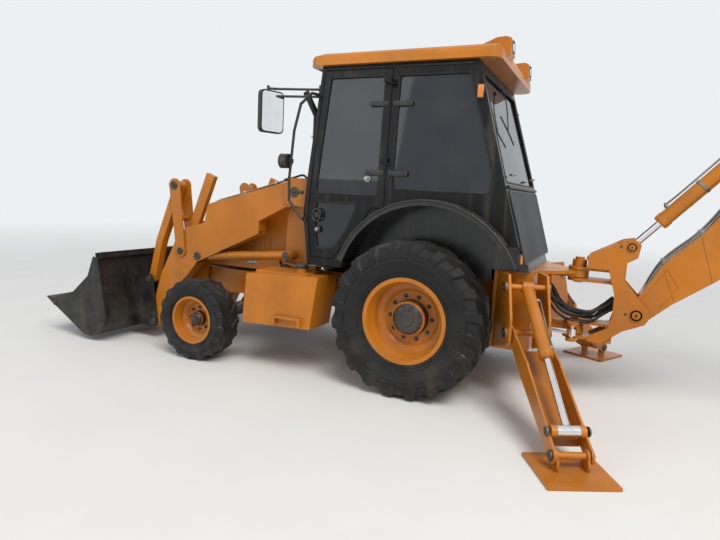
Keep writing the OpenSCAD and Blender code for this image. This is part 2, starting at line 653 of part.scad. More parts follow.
// Bonnet, open below and behind, with a slatted nose
bonnet_hinge = [1215, 1600];
module bonnet() color(paint) place() difference() {
    side_plate(2 * bonnet_half_w) polygon([
        [1175, 900], [1175, bonnet_rear_z - 20], [1230, bonnet_rear_z],
        [2650, bonnet_front_z + 55], [2770, bonnet_front_z - 10], [2800, bonnet_front_z - 110],
        [2815, 640], [2620, 640], [2590, 900]]);
    side_plate(2 * (bonnet_half_w - 22)) polygon([
        [1100, 800], [1100, bonnet_rear_z - 22], [1225, bonnet_rear_z - 22],
        [2640, bonnet_front_z + 33], [2755, bonnet_front_z - 25], [2785, bonnet_front_z - 115],
        [2798, 700], [2798, 600], [2000, 600]]);
    for (i = [0 : 7]) translate([2700, -330, 700 + i * 60]) cube([200, 660, 30]);
    both() for (i = [0 : 8]) translate([1760 + i * 62, bonnet_half_w - 7, 1060]) cube([30, 20, 200]);
    cross_pin(15 + pin_gap, 900, bonnet_hinge);
}

// Loader arm in the plane of X and Z
module arm_profile() {
    translate(arm_pivot) circle(r = 135);
    translate(tip_pin) circle(r = 72);
    translate(lever_pin) circle(r = 60);
    polygon([
        [1290, 1888], [2360, 1590], [2395, 1570], [2434, 1378], [2663, 1319], [2790, 1240],
        [3040, 760], [3210, 215], [3070, 190], [2950, 420], [2860, 600], [2660, 790], [2529, 949],
        [2357, 1028], [1738, 1312], [1735, 1443], [1422, 1600], [1280, 1625]]);
}
module loader_arms() color(paint) place() {
    both() difference() {
        union() {
            side_plate(arm_w, arm_y) arm_profile();
            cross_pin(30, arm_w + 2 * 22, lever_pin, arm_y);
            cross_pin(44, 22, tilt_base_pin, arm_in_y - 9);
            cross_pin(24, arm_in_y - tilt_y + 40, tilt_base_pin, (arm_in_y + tilt_y - 40) / 2);
        }
        side_plate(116, arm_y) polygon([
            [2560, 940], [2640, 1000], [2648, 1150], [2560, 1170], [2200, 1242], [1700, 1352],
            [1600, 1200], [2300, 700]]);
        cross_pin(35 + pin_gap, 400, arm_pivot, arm_y);
        cross_pin(30 + pin_gap, 400, tip_pin, arm_y);
    }
    cross_pin(65, 2 * arm_in_y, [2925, 690]);
    // Props that stand on the arms' inner side behind the levers
    both() at([2690, 1200], 112) translate([0, 578, -55]) cube([745, 60, 110]);
}
module tilt_levers() color(paint) place() both() {
    difference() {
        for (y = [arm_in_y - side_gap - 9, arm_in_y + arm_w + side_gap + 9])
            side_plate(18, y) strap(lever_pin, lever_top, 62, 75);
        cross_pin(30 + pin_gap, 400, lever_pin, arm_y);
    }
    cross_pin(28, arm_w + 2 * side_gap, lever_top, arm_y);
    cross_pin(30, arm_w + 2 * side_gap, lever_pin + 360 * aim(heading(lever_pin, lever_top) - 2), arm_y);
    cross_pin(42, 15, tilt_rod_pin, arm_in_y - side_gap - 18 - 7.5);
}
link_bend = [3092, 1130];
module tilt_links() color(paint) place() both() {
    difference() {
        side_plate(90, arm_y) {
            strap(lever_top, link_bend, 50, 46);
            strap(link_bend, ear_pin, 46, 48);
        }
        cross_pin(28 + pin_gap, 400, lever_top, arm_y);
    }
    cross_pin(28, arm_w - 2 * 7, ear_pin, arm_y);
}
heel_at = [3636, 316];
heel_r = 260;
floor_angle = 32;
back_angle = 79;
module bucket_side() {
    translate(heel_at) circle(r = heel_r - 1);
    polygon([
        [3494, 930], [3558, 948], [3644, 728], [3878, 525], [4167, 423], [4290, 400],
        from_line(heel_at, floor_angle, [80, -heel_r + 1]), heel_at,
        from_line(heel_at, back_angle, [40, heel_r - 1])]);
}
module bucket_skin() difference() {
    union() {
        translate(heel_at) circle(r = heel_r);
        translate(heel_at) rotate(floor_angle) translate([0, -heel_r]) square([600, 60]);
        translate(heel_at) rotate(back_angle) translate([0, heel_r - 60]) square([640, 60]);
    }
    translate(heel_at) circle(r = heel_r - bucket_t);
    translate(heel_at) rotate(floor_angle) translate([0, -heel_r + bucket_t]) square([700, 2 * heel_r]);
    translate(heel_at) rotate(back_angle) translate([0, -heel_r]) square([700, 2 * heel_r - bucket_t]);
}
module loader_bucket() color(bare) place() {
    difference() {
        union() {
            side_plate(2 * bucket_half_w) bucket_skin();
            side_plate(2 * bucket_half_w + 30) translate(heel_at) rotate(floor_angle) polygon([
                [460, -heel_r - 5], [618, -heel_r + 3], [616, -heel_r + 8], [592, -heel_r + 25],
                [460, -heel_r + 25]]);
            side_plate(2 * bucket_half_w - 40) translate(heel_at) rotate(back_angle)
                translate([575, heel_r - 5]) square([66, 45]);
        }
        for (y = [-980 : 280 : 980]) at(heel_at, floor_angle) translate([545, y, -heel_r - 20])
            cylinder(r = 11, h = 80);
    }
    both() side_plate(bucket_t, bucket_half_w - bucket_t / 2) bucket_side();
    // Ears behind the back wall carry the arm tips and the tilt links
    both() for (y = [arm_in_y - side_gap - 9, arm_in_y + arm_w + side_gap + 9])
        side_plate(18, y) difference() {
            union() {
                strap(tip_pin, ear_pin, 62, 58);
                polygon([[3130, 140], [3470, 150], [3384, 330], [3450, 700], [3190, 745], [3130, 300]]);
            }
            translate(heel_at) circle(r = heel_r - 5);
        }
    both() cross_pin(30, arm_w + 2 * side_gap + 36, tip_pin, arm_y);
}
lift_len = norm(lift_rod_pin - lift_base_pin);
module lift_barrels() color(paint) place() both() translate([0, arm_y, 0])
    at(lift_base_pin, heading(lift_base_pin, lift_rod_pin))
        barrel(lift_len - 110, lift_barrel_d / 2, 25, 100, 28, lift_len - 200);
module lift_rods() color(chrome) place() both() translate([0, arm_y, 0])
    at(lift_base_pin, heading(lift_base_pin, lift_rod_pin))
        ram_rod(120, lift_len, 25, 90, 45);
tilt_len = norm(tilt_rod_pin - tilt_base_pin);
module tilt_barrels() color(paint) place() both() translate([0, tilt_y, 0])
    at(tilt_base_pin, heading(tilt_base_pin, tilt_rod_pin))
        barrel(tilt_len - 130, tilt_barrel_d / 2, 20, 60, 24, tilt_len - 220);
module tilt_rods() color(chrome) place() both() translate([0, tilt_y, 0])
    at(tilt_base_pin, heading(tilt_base_pin, tilt_rod_pin))
        ram_rod(140, tilt_len, 20, 50, 40);

// Kingpost: side plates with a nose for the boom ram, forks above and below on the swing axis
kp_in = boom_w / 2 + 7;
kp_t = 25;
module kingpost_side() {
    translate(boom_pivot) circle(r = 100);
    polygon([
        [1385, 1215], [1385, 1330], [1650, 1482], [1740, 1500], [1795, 1455], [1780, 1340], [1700, 1290],
        [1700, 1120], [1900, 905], [1890, 770], [1720, 690], [1560, 558], [1440, 558],
        [1440, 600], [1600, 700], [1625, 800], [1625, 1000], [1600, 1085], [1560, 1215]]);
}
module kingpost() color(paint) aft() {
    both() side_plate(kp_t, kp_in + kp_t / 2) kingpost_side();
    // Fork plates round the swing axis: bottom and thickness
    for (c = [[1188, 30], [1085, 28], [698, 27], [558, 30]]) translate([swing_s, 0, c[0]]) {
        cylinder(r = 92, h = c[1]);
        translate([0, -90, 0]) cube([310, 180, c[1]]);
    }
    for (c = [[1085, 133], [558, 167]]) translate([1580, -kp_in - 1, c[0]]) cube([60, 2 * kp_in + 2, c[1]]);
    // Ears for the swing rods
    for (c = [[698, 27], [558, 30]]) for (s = [-1, 1]) translate([swing_s, 0, c[0]])
        linear_extrude(c[1]) strap([0, 0], [0, s * swing_ram_y], 70, 45);
    translate([swing_s, 0, 1070]) cylinder(r = 40, h = 230);
    translate([swing_s, 0, 1218]) cylinder(r = 62, h = 60);
    translate([swing_s + 75, -78, 1217]) cube([235, 156, 58]);
    // Nose plate between the sides
    at([1395, 1262], 31) translate([0, -kp_in - 1, 30]) cube([270, 2 * kp_in + 2, 24]);
    translate([swing_s, 0, 560]) cylinder(r = 40, h = 180);
    cross_pin(35, 2 * kp_in + 2, boom_pivot);
    both() cross_pin(52, 12, boom_pivot, kp_in + kp_t + 6);
    both() cross_pin(42, 12, boom_ram_eye, kp_in + kp_t + 6);
}
module boom_profile() {
    circle(r = 98);
    translate([boom_len, 0]) circle(r = 118);
    polygon([
        [30, -92], [268, -102], [653, -157], [946, -147], [1217, -90], [1656, -62], [2000, -10],
        [2330, 20], [boom_len - 60, -95], [boom_len + 95, 60], [2513, 334], [2060, 640],
        [1970, 610], [1704, 490], [1387, 354], [1112, 261], [813, 205], [439, 200], [60, 95]]);
}
module boom() color(paint) aft() boom_frame() {
    difference() {
        side_plate(boom_w) boom_profile();
        side_plate(boom_w - 36) polygon([
            [1240, 50], [2090, 50], [2150, -500], [3100, -500], [3100, 1300], [1500, 1300],
            [1500, 330], [1240, 220]]);
        cross_pin(35 + pin_gap, 400, [0, 0]);
    }
    for (p = [[boom_ram_base, 30], [dipper_ram_base, 28], [[boom_len, 0], 35]])
        cross_pin(p[1], boom_w - 20, p[0]);
}
boom_eye_at = from_line([0, 0], -boom_angle, boom_ram_eye - boom_pivot);
boom_ram_len = norm(boom_ram_base - boom_eye_at);
module boom_ram_frame() at(boom_ram_base, heading(boom_ram_base, boom_eye_at)) children();
module boom_barrel() color(paint) aft() boom_frame() boom_ram_frame()
    barrel(boom_ram_len - 285, 62, 32, 110, 30, boom_ram_len - 385);
module boom_rod() color(chrome) aft() boom_frame() boom_ram_frame()
    ram_rod(340, boom_ram_len, 32, 2 * kp_in - 2, 48);
nose_at = from_line([boom_len, 0], dipper_angle - boom_angle, [-nose_len, 0]);
dipper_ram_len = norm(nose_at - dipper_ram_base);
module dipper_ram_frame() at(dipper_ram_base, heading(dipper_ram_base, nose_at)) children();
module dipper_barrel() color(paint) aft() boom_frame() dipper_ram_frame()
    barrel(920, 55, 28, 100, 28, 860);
module dipper_rod() color(chrome) aft() boom_frame() dipper_ram_frame()
    ram_rod(650, dipper_ram_len, 28, 76, 45);
module dipper() color(paint) aft() dipper_frame() {
    difference() {
        union() {
            side_plate(dipper_w) {
                translate([-nose_len, 0]) circle(r = 70);
                translate([dipper_len, 0]) circle(r = 78);
                translate(bucket_ram_base) circle(r = 55);
                polygon([
                    [-nose_len - 30, -60], [-240, -95], [0, -130], [300, -95], [dipper_len, -76],
                    [dipper_len, 76], [tip_lever_at[0], 88], [300, 130], [-100, 215], [-300, 300],
                    [-375, 270], [-nose_len - 20, 66]]);
            }
            cross_pin(28, dipper_w + 44, tip_lever_at);
        }
        side_plate(90) polygon([[-700, -200], [-400, -200], [-362, 0], [-405, 260], [-700, 260]]);
        side_plate(110) polygon([[-420, 340], [-400, 188], [-150, 160], [20, 148], [90, 400]]);
        cross_pin(35 + pin_gap, 400, [0, 0]);
        cross_pin(30 + pin_gap, 400, [dipper_len, 0]);
    }
    cross_pin(25, dipper_w - 20, bucket_ram_base);
}
bucket_ram_len = norm(lever_tip_at - bucket_ram_base);
module bucket_ram_frame() at(bucket_ram_base, heading(bucket_ram_base, lever_tip_at)) children();
module bucket_barrel() color(paint) aft() dipper_frame() bucket_ram_frame()
    barrel(1250, 45, 25, 80, 25, 1170);
module bucket_rod() color(chrome) aft() dipper_frame() bucket_ram_frame()
    ram_rod(500, bucket_ram_len, 25, 60, 42);
module tipping_lever() color(paint) aft() dipper_frame() both() {
    difference() {
        side_plate(16, dipper_w / 2 + 13) strap(tip_lever_at, lever_tip_at, 50, lever_end_r);
        cross_pin(28 + pin_gap, 400, tip_lever_at);
    }
    cross_pin(24, dipper_w / 2 + 6 - 36, lever_tip_at, (dipper_w / 2 + 6 + 36) / 2);
    cross_pin(16, dipper_w + 12, tip_lever_at + 262 * aim(heading(tip_lever_at, lever_tip_at)));
}
module tipping_link() color(paint) aft() dipper_frame() {
    difference() {
        both() side_plate(18, 70) strap(lever_tip_at, hoe_ear_at, 42, 42);
        cross_pin(24 + pin_gap, 400, lever_tip_at);
    }
    at(lever_tip_at, heading(lever_tip_at, hoe_ear_at)) translate([130, -62, -25]) cube([130, 124, 50]);
    cross_pin(25, 158, hoe_ear_at);
}
// Backhoe bucket about its pin, its ear along +Z
hoe_c = [522, 0];
hoe_r = 420;
module hoe_side() {
    translate(hoe_c) circle(r = hoe_r - 1);
    polygon([[110, 0], [140, -110], [910, -400], [hoe_c[0] + hoe_r - 1, -395], [hoe_c[0] + hoe_r - 1, 0]]);
}
module hoe_skin() difference() {
    union() {
        translate(hoe_c) circle(r = hoe_r);
        translate([hoe_c[0] + hoe_r - 40, -420]) square([40, 420]);
    }
    translate(hoe_c) circle(r = hoe_r - 18);
    translate([-200, -1000]) square([hoe_c[0] + hoe_r - 18 + 200, 1000]);
}
module hoe_bucket() color(bare) aft() at(hoe_pin, dipper_angle + hoe_ear_angle - 90) {
    side_plate(hoe_bucket_w) hoe_skin();
    both() side_plate(20, hoe_bucket_w / 2 - 10) hoe_side();
    both() side_plate(20, dipper_w / 2 + 15) difference() {
        union() {
            strap([0, 0], [0, hoe_ear_r], 62, 50);
            polygon([[0, 50], [130, -20], [240, 300], [372, 405], [292, 424], [0, hoe_ear_r + 40]]);
        }
        translate(hoe_c) circle(r = hoe_r - 4);
    }
    cross_pin(30, dipper_w + 50, [0, 0]);
    for (i = [-2 : 2]) translate([0, i * (hoe_bucket_w - 70) / 4, 0]) side_plate(60)
        polygon([[hoe_c[0] + hoe_r - 30, -370], [hoe_c[0] + hoe_r + 12, -370], [hoe_c[0] + hoe_r - 12, -540]]);
}

// Stabiliser leg in its own plane, out along +X from its pivot
leg_half = 120;
leg_t = 16;
module leg() color(paint) leg_frame() {
    difference() {
        both() side_plate(leg_t, leg_half + leg_t / 2) {
            strap([0, 0], from_line([0, 0], leg_slope, [420, 10]), 60, 88);
            strap(from_line([0, 0], leg_slope, [420, 10]), foot_at, 88, 58);
        }
        cross_pin(30 + pin_gap, 400, [0, 0]);
        cross_pin(25 + pin_gap, 400, foot_at);
    }
    at([0, 0], leg_slope) translate([150, -leg_half - 1, -72]) cube([880, 2 * leg_half + 2, 16]);
    both() at([0, 0], leg_slope) translate([0, leg_half - 14, 0])
        cross_pin(42, 40, [norm(foot_at) - 140, 70], -4);
}
module pad() color(paint) leg_frame() translate([foot_at[0], 0, -leg_pivot[2]]) {
    translate([-pad_side / 2, -pad_side / 2, 0]) cube([pad_side, pad_side, 25]);
    both() side_plate(16, leg_half - 14) strap([0, 62], [0, foot_pin_z], 60, 45);
    cross_pin(25, 2 * (leg_half + leg_t), [0, foot_pin_z]);
}
leg_ram_len = norm(leg_ram_foot - leg_ram_top);
module leg_ram_frame() leg_frame() at(leg_ram_top, heading(leg_ram_top, leg_ram_foot)) children();
module leg_barrel() color(paint) leg_ram_frame() barrel(700, 50, 26, 90, 25, 640);
module leg_rod() color(chrome) leg_ram_frame() ram_rod(610, leg_ram_len, 26, 160, 42);

chassis();
rear_frame();
swing_barrels();
engine();
front_axle();
rear_axle();
cab_shell();
cab_roof();
rear_fenders();
cab_glass();
seat_and_controls();
side_tanks();
mirrors();
exhaust();
lamps();
color(black) place() door();  // door_left
color(black) place() mirror([0, 1, 0]) door();  // door_right
color(glass) place() door_glass();  // door_glass_left
color(glass) place() mirror([0, 1, 0]) door_glass();  // door_glass_right
bonnet();
color(bare) place() at_kingpin() knuckle();  // knuckle_left
color(bare) place() mirror([0, 1, 0]) at_kingpin() knuckle();  // knuckle_right
color(rubber) place() at_front() front_tyre();  // front_tyre_left
color(rubber) place() mirror([0, 1, 0]) at_front() front_tyre();  // front_tyre_right
color(paint) place() at_front() front_rim();  // front_rim_left
color(paint) place() mirror([0, 1, 0]) at_front() front_rim();  // front_rim_right
color(rubber) place() at_rear() rear_tyre();  // rear_tyre_left
color(rubber) place() mirror([0, 1, 0]) at_rear() rear_tyre();  // rear_tyre_right
color(paint) place() at_rear() rear_rim();  // rear_rim_left
color(paint) place() mirror([0, 1, 0]) at_rear() rear_rim();  // rear_rim_right
loader_arms();
tilt_levers();
tilt_links();
loader_bucket();
lift_barrels();
lift_rods();
tilt_barrels();
tilt_rods();
kingpost();
boom();
dipper();
tipping_lever();
tipping_link();
hoe_bucket();
boom_barrel();
boom_rod();
dipper_barrel();
dipper_rod();
bucket_barrel();
bucket_rod();
swing_rod();  // swing_rod_left
mirror([0, 1, 0]) swing_rod();  // swing_rod_right
place() leg();  // leg_left
place() mirror([0, 1, 0]) leg();  // leg_right
place() pad();  // pad_left
place() mirror([0, 1, 0]) pad();  // pad_right
place() leg_barrel();  // leg_barrel_left
place() mirror([0, 1, 0]) leg_barrel();  // leg_barrel_right
place() leg_rod();  // leg_rod_left
place() mirror([0, 1, 0]) leg_rod();  // leg_rod_right
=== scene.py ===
"""Finish, light and camera for the backhoe loader."""
import json
import math

import bmesh
import bpy
from mathutils import Matrix, Vector


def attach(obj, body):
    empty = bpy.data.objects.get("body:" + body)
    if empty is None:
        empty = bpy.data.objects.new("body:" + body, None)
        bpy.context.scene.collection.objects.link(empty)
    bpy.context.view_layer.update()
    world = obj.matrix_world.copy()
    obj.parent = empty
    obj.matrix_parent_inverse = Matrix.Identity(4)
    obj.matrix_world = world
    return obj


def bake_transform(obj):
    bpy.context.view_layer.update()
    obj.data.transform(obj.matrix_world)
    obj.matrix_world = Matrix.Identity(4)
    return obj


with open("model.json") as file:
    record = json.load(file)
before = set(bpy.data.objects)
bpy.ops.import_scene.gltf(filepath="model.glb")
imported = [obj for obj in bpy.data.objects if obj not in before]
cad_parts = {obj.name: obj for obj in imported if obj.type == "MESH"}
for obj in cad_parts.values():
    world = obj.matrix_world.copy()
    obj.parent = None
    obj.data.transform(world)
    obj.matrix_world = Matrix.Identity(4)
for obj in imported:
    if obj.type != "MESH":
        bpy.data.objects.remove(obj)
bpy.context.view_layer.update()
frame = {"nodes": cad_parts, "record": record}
nodes = frame["nodes"]

# Linear colours of the finishes
ORANGE = (0.475, 0.154, 0.006)
BLACK_PAINT = (0.008, 0.008, 0.0085)
WORN_GREY = (0.017, 0.017, 0.018)
TYRE_RUBBER = (0.0065, 0.0066, 0.007)
DUST = (0.30, 0.25, 0.19)
RUST = (0.16, 0.055, 0.02)
BARE_STEEL = (0.30, 0.30, 0.30)
CHROME = (0.72, 0.72, 0.72)
SILVER = (0.80, 0.81, 0.82)
TINTED_GLASS = (0.008, 0.012, 0.019)
RED_LENS = (0.45, 0.01, 0.008)
AMBER_LENS = (0.75, 0.22, 0.01)
CAST_DARK = (0.035, 0.033, 0.032)
PLASTIC_DARK = (0.018, 0.018, 0.019)
FLOOR_GREY = (0.78, 0.78, 0.77)
HORIZON = (0.84, 0.87, 0.89)
SKY = (0.86, 0.90, 0.95)

# Shader node tools and groups shared by the finishes
FLOAT, VECTOR = "NodeSocketFloat", "NodeSocketVector"


def set_inputs(tree, node, inputs):
    """Each input, by name or number, is linked from a socket or set to a value."""
    for key, value in inputs.items():
        if isinstance(value, bpy.types.NodeSocket):
            tree.links.new(value, node.inputs[key])
        else:
            node.inputs[key].default_value = value


def add_node(tree, kind, inputs=None, **settings):
    node = tree.nodes.new(kind)
    for key, value in settings.items():
        setattr(node, key, value)
    set_inputs(tree, node, inputs or {})
    return node


def maths(tree, operation, first, second=0.0, clamp=False):
    return add_node(tree, "ShaderNodeMath", {0: first, 1: second}, operation=operation,
                    use_clamp=clamp).outputs[0]


def line(tree, value, slope, offset, clamp=False):
    """The value times slope, plus offset."""
    return add_node(tree, "ShaderNodeMath", {0: value, 1: slope, 2: offset},
                    operation="MULTIPLY_ADD", use_clamp=clamp).outputs[0]


def shade(colour, factor):
    return tuple(min(1.0, c * factor) for c in colour)


def rgba(colour):
    return colour if isinstance(colour, bpy.types.NodeSocket) else (*colour, 1.0)


def mix_colour(tree, factor, first, second):
    return add_node(tree, "ShaderNodeMix", {0: factor, 6: rgba(first), 7: rgba(second)},
                    data_type="RGBA").outputs[2]


def ramp(tree, factor, low, high):
    """0 below low, 1 above high and a smooth rise between."""
    return add_node(tree, "ShaderNodeMapRange", {0: factor, 1: low, 2: high},
                    interpolation_type="SMOOTHSTEP").outputs[0]


def noise(tree, place, scale, detail=4.0, rough=0.55):
    return add_node(tree, "ShaderNodeTexNoise", {"Vector": place, "Scale": scale, "Detail": detail,
                                                 "Roughness": rough}).outputs[0]


def own_place(tree):
    """Coordinates in the machine's own frame."""
    return add_node(tree, "ShaderNodeTexCoord").outputs["Object"]


def along_axis(tree, vector, axis):
    return add_node(tree, "ShaderNodeSeparateXYZ", {0: vector}).outputs[axis]


def bump(tree, height, strength, distance, base=None):
    """The normal of a surface raised by height, over another normal if one is given."""
    node = add_node(tree, "ShaderNodeBump",
                    {"Height": height, "Strength": strength, "Distance": distance})
    if base is not None:
        tree.links.new(base, node.inputs["Normal"])
    return node.outputs[0]


def new_group(name, inputs, outputs):
    """An empty shader node group; inputs give each default and outputs each kind of socket."""
    group = bpy.data.node_groups.new(name, "ShaderNodeTree")
    for label, default in inputs.items():
        sock = group.interface.new_socket(label, in_out="INPUT", socket_type=FLOAT)
        sock.default_value = default
    for label, kind in outputs.items():
        group.interface.new_socket(label, in_out="OUTPUT", socket_type=kind)
    return group, group.nodes.new("NodeGroupInput").outputs, group.nodes.new("NodeGroupOutput")


def make_weathering():
    """Masks for a machine that has stood outside: chipped edges, rust in them, dust that
    lies on level faces and low down, and streaks."""
    group, given, leave = new_group(
        "Weathering", {"Edge Width": 0.004, "Chips": 0.5, "Dust": 0.5},
        {"Chip": FLOAT, "Dust": FLOAT, "Mottle": FLOAT, "Height": FLOAT, "Streak": FLOAT,
         "Rounded": VECTOR})
    place = own_place(group)
    surface = add_node(group, "ShaderNodeNewGeometry").outputs
    rounded = add_node(group, "ShaderNodeBevel", {"Radius": given["Edge Width"]},
                       samples=4).outputs[0]
    turned = add_node(group, "ShaderNodeVectorMath", {0: rounded, 1: surface["True Normal"]},
                      operation="DOT_PRODUCT").outputs["Value"]
    edge = ramp(group, maths(group, "SUBTRACT", 1.0, turned), 0.004, 0.10)
    # Chips along the edges, and fewer small ones on the faces
    gate = line(group, given["Chips"], -0.62, 1.0)
    fine = ramp(group, noise(group, place, 22.0, 6.0, 0.7), gate, maths(group, "ADD", gate, 0.05))
    spots = ramp(group, noise(group, place, 55.0, 3.0, 0.6),
                 maths(group, "ADD", gate, 0.06), maths(group, "ADD", gate, 0.10))
    chip = maths(group, "MAXIMUM", maths(group, "MULTIPLY", edge, fine), spots, clamp=True)
    # Dust on level faces and on what is within a metre of the ground
    level = ramp(group, along_axis(group, surface["Normal"], 2), 0.35, 0.95)
    low = ramp(group, maths(group, "SUBTRACT", 1.0, along_axis(group, place, 2)), 0.0, 0.95)
    cloud = ramp(group, noise(group, place, 5.0, 6.0, 0.65), 0.38, 0.66)
    lying = maths(group, "MULTIPLY",
                  line(group, level, 0.75, maths(group, "MULTIPLY", low, 0.6)), cloud)
    broad = noise(group, place, 2.3)
    tall = add_node(group, "ShaderNodeVectorMath", {0: place, 1: (14.0, 14.0, 0.7)},
                    operation="MULTIPLY").outputs[0]
    peel = maths(group, "MULTIPLY", noise(group, place, 260.0, 2.0), 0.12)
    set_inputs(group, leave, {
        "Chip": chip, "Dust": maths(group, "MULTIPLY", lying, given["Dust"], clamp=True),
        "Mottle": broad, "Streak": ramp(group, noise(group, tall, 1.0, 3.0), 0.5, 0.75),
        "Height": line(group, chip, -0.5, line(group, broad, 0.5, peel)), "Rounded": rounded})
    return group


def make_grain():
    """Moulded grain of plastic and rubber, as a height and a tone."""
    group, given, leave = new_group("Grain", {"Scale": 400.0}, {"Height": FLOAT, "Tone": FLOAT})
    place = own_place(group)
    cells = add_node(group, "ShaderNodeTexVoronoi", {"Vector": place, "Scale": given["Scale"]},
                     feature="SMOOTH_F1")
    set_inputs(group, leave, {"Height": cells.outputs["Distance"],
                              "Tone": noise(group, place, 6.0, 5.0, 0.6)})
    return group


WEATHERING = make_weathering()
GRAIN = make_grain()


def new_material(name):
    material = bpy.data.materials.new(name)
    material.use_nodes = True
    tree = material.node_tree
    tree.nodes.clear()
    shader = tree.nodes.new("ShaderNodeBsdfPrincipled")
    add_node(tree, "ShaderNodeOutputMaterial", {0: shader.outputs[0]})
    return material, tree, shader


def weathered(name, colour, chips, dust, gloss, under=RUST, coat=0.0, metal=0.0, mottle=0.10,
              edge=0.004, relief=0.25, sheen=0.5):
    """Paint or steel with chipped edges, dust and mottling."""
    material, tree, shader = new_material(name)
    wear = add_node(tree, "ShaderNodeGroup", {"Edge Width": edge, "Chips": chips, "Dust": dust},
                    node_tree=WEATHERING).outputs
    tone = mix_colour(tree, ramp(tree, wear["Mottle"], 0.35, 0.65),
                      shade(colour, 1 - mottle), shade(colour, 1 + mottle))
    tone = mix_colour(tree, maths(tree, "MULTIPLY", wear["Streak"], 0.10), tone, DUST)
    tone = mix_colour(tree, wear["Chip"], tone, under)
    dull = line(tree, wear["Dust"], 0.5, gloss)
    set_inputs(tree, shader, {
        "Base Color": mix_colour(tree, wear["Dust"], tone, DUST), "Specular IOR Level": sheen,
        "Roughness": line(tree, wear["Chip"], 0.4, dull, clamp=True),
        "Normal": bump(tree, wear["Height"], relief, 0.002, wear["Rounded"])})
    if metal:
        set_inputs(tree, shader, {"Metallic": line(tree, wear["Dust"], -metal, metal)})
    if coat:
        set_inputs(tree, shader, {"Coat Weight": line(tree, wear["Dust"], -coat, coat),
                                  "Coat Roughness": 0.15})
    return material


def rubber(name, colour, dust, grain=420.0):
    material, tree, shader = new_material(name)
    wear = add_node(tree, "ShaderNodeGroup", {"Edge Width": 0.008, "Chips": 0.0, "Dust": dust},
                    node_tree=WEATHERING)
    skin = add_node(tree, "ShaderNodeGroup", {"Scale": grain}, node_tree=GRAIN)
    mottle = skin.outputs["Tone"]
    tone = mix_colour(tree, ramp(tree, mottle, 0.35, 0.7), colour, shade(colour, 1.9))
    set_inputs(tree, shader, {
        "Base Color": mix_colour(tree, wear.outputs["Dust"], tone, DUST),
        "Roughness": line(tree, mottle, 0.25, 0.42), "Specular IOR Level": 0.3,
        "Normal": bump(tree, skin.outputs["Height"], 0.12, 0.001)})
    return material


def tinted_glass():
    """Dark tinted glass with a thin, uneven film of dust."""
    material, tree, shader = new_material("tinted_glass")
    place = own_place(tree)
    film = ramp(tree, noise(tree, place, 2.6, 6.0, 0.62), 0.42, 0.78)
    smear = ramp(tree, noise(tree, place, 14.0, 5.0, 0.7), 0.45, 0.80)
    haze = maths(tree, "MULTIPLY", line(tree, smear, 0.4, film), 0.05)
    set_inputs(tree, shader, {
        "Base Color": mix_colour(tree, haze, TINTED_GLASS, DUST), "IOR": 1.62,
        "Roughness": maths(tree, "ADD", haze, 0.03), "Alpha": maths(tree, "ADD", haze, 0.80)})
    return material


def ribbed(tree, place, colour, depth, floor, **inputs):
    """The ribs of a lens, and its colour, with painted shade between them."""
    ribs = add_node(tree, "ShaderNodeTexWave", {"Vector": place, "Scale": 45.0, **inputs},
                    bands_direction="Z").outputs["Fac"]
    return ribs, mix_colour(tree, maths(tree, "MULTIPLY", ribs, depth), colour, shade(colour, floor))


def film_over(tree, cloud, amount, tone):
    """Dust over a tone where the cloud is thick."""
    return mix_colour(tree, maths(tree, "MULTIPLY", ramp(tree, cloud, 0.45, 0.75), amount), tone,
                      DUST)


def lens_finish(name, colour):
    """A ribbed lens behind a clear, slightly dusty skin."""
    material, tree, shader = new_material(name)
    place = own_place(tree)
    # Painted shade between the lens's ribs
    ribs, tone = ribbed(tree, place, colour, 0.5, 0.62, Distortion=0.3)
    cloud = noise(tree, place, 30.0)
    set_inputs(tree, shader, {
        "Base Color": film_over(tree, cloud, 0.18, tone), "Coat Weight": 0.6,
        "Roughness": line(tree, cloud, 0.16, 0.06), "Normal": bump(tree, ribs, 0.35, 0.002)})
    return material


def mirror_finish():
    """Silvered glass whose shading normal is turned a few degrees outwards, as if set at that angle in
    its housing.
    """
    material, tree, shader = new_material("silvered_glass")
    place = own_place(tree)
    surface = add_node(tree, "ShaderNodeNewGeometry").outputs["Normal"]
    side = maths(tree, "SIGN", along_axis(tree, place, 1))
    facing = add_node(tree, "ShaderNodeVectorRotate", {
        "Vector": surface, "Angle": maths(tree, "MULTIPLY", side, math.radians(-16.0))},
        rotation_type="Z_AXIS")
    film = ramp(tree, noise(tree, place, 9.0, 5.0, 0.65), 0.45, 0.80)
    set_inputs(tree, shader, {
        "Base Color": mix_colour(tree, maths(tree, "MULTIPLY", film, 0.12), SILVER, DUST),
        "Roughness": line(tree, film, 0.12, 0.03), "Metallic": 1.0, "Normal": facing.outputs[0]})
    return material


def drum_finish(name, shell, lens):
    """A lamp's dark drum with a lens over the end that faces away from the cab."""
    material, tree, shader = new_material(name)
    place = own_place(tree)
    surface = add_node(tree, "ShaderNodeNewGeometry").outputs["True Normal"]
    away = maths(tree, "MULTIPLY", along_axis(tree, surface, 0),
                 maths(tree, "SIGN", along_axis(tree, place, 0)))
    front = ramp(tree, away, 0.90, 0.95)
    cloud = noise(tree, place, 30.0)
    # Painted shade between the ribs of the drum's lens
    glazed = ribbed(tree, place, lens, 0.4, 0.7)[1]
    rough = line(tree, front, -0.30, 0.42)
    set_inputs(tree, shader, {
        "Base Color": mix_colour(tree, front, film_over(tree, cloud, 0.2, shell), glazed),
        "Roughness": line(tree, cloud, 0.08, rough), "Normal": bump(tree, cloud, 0.15, 0.001)})
    return material


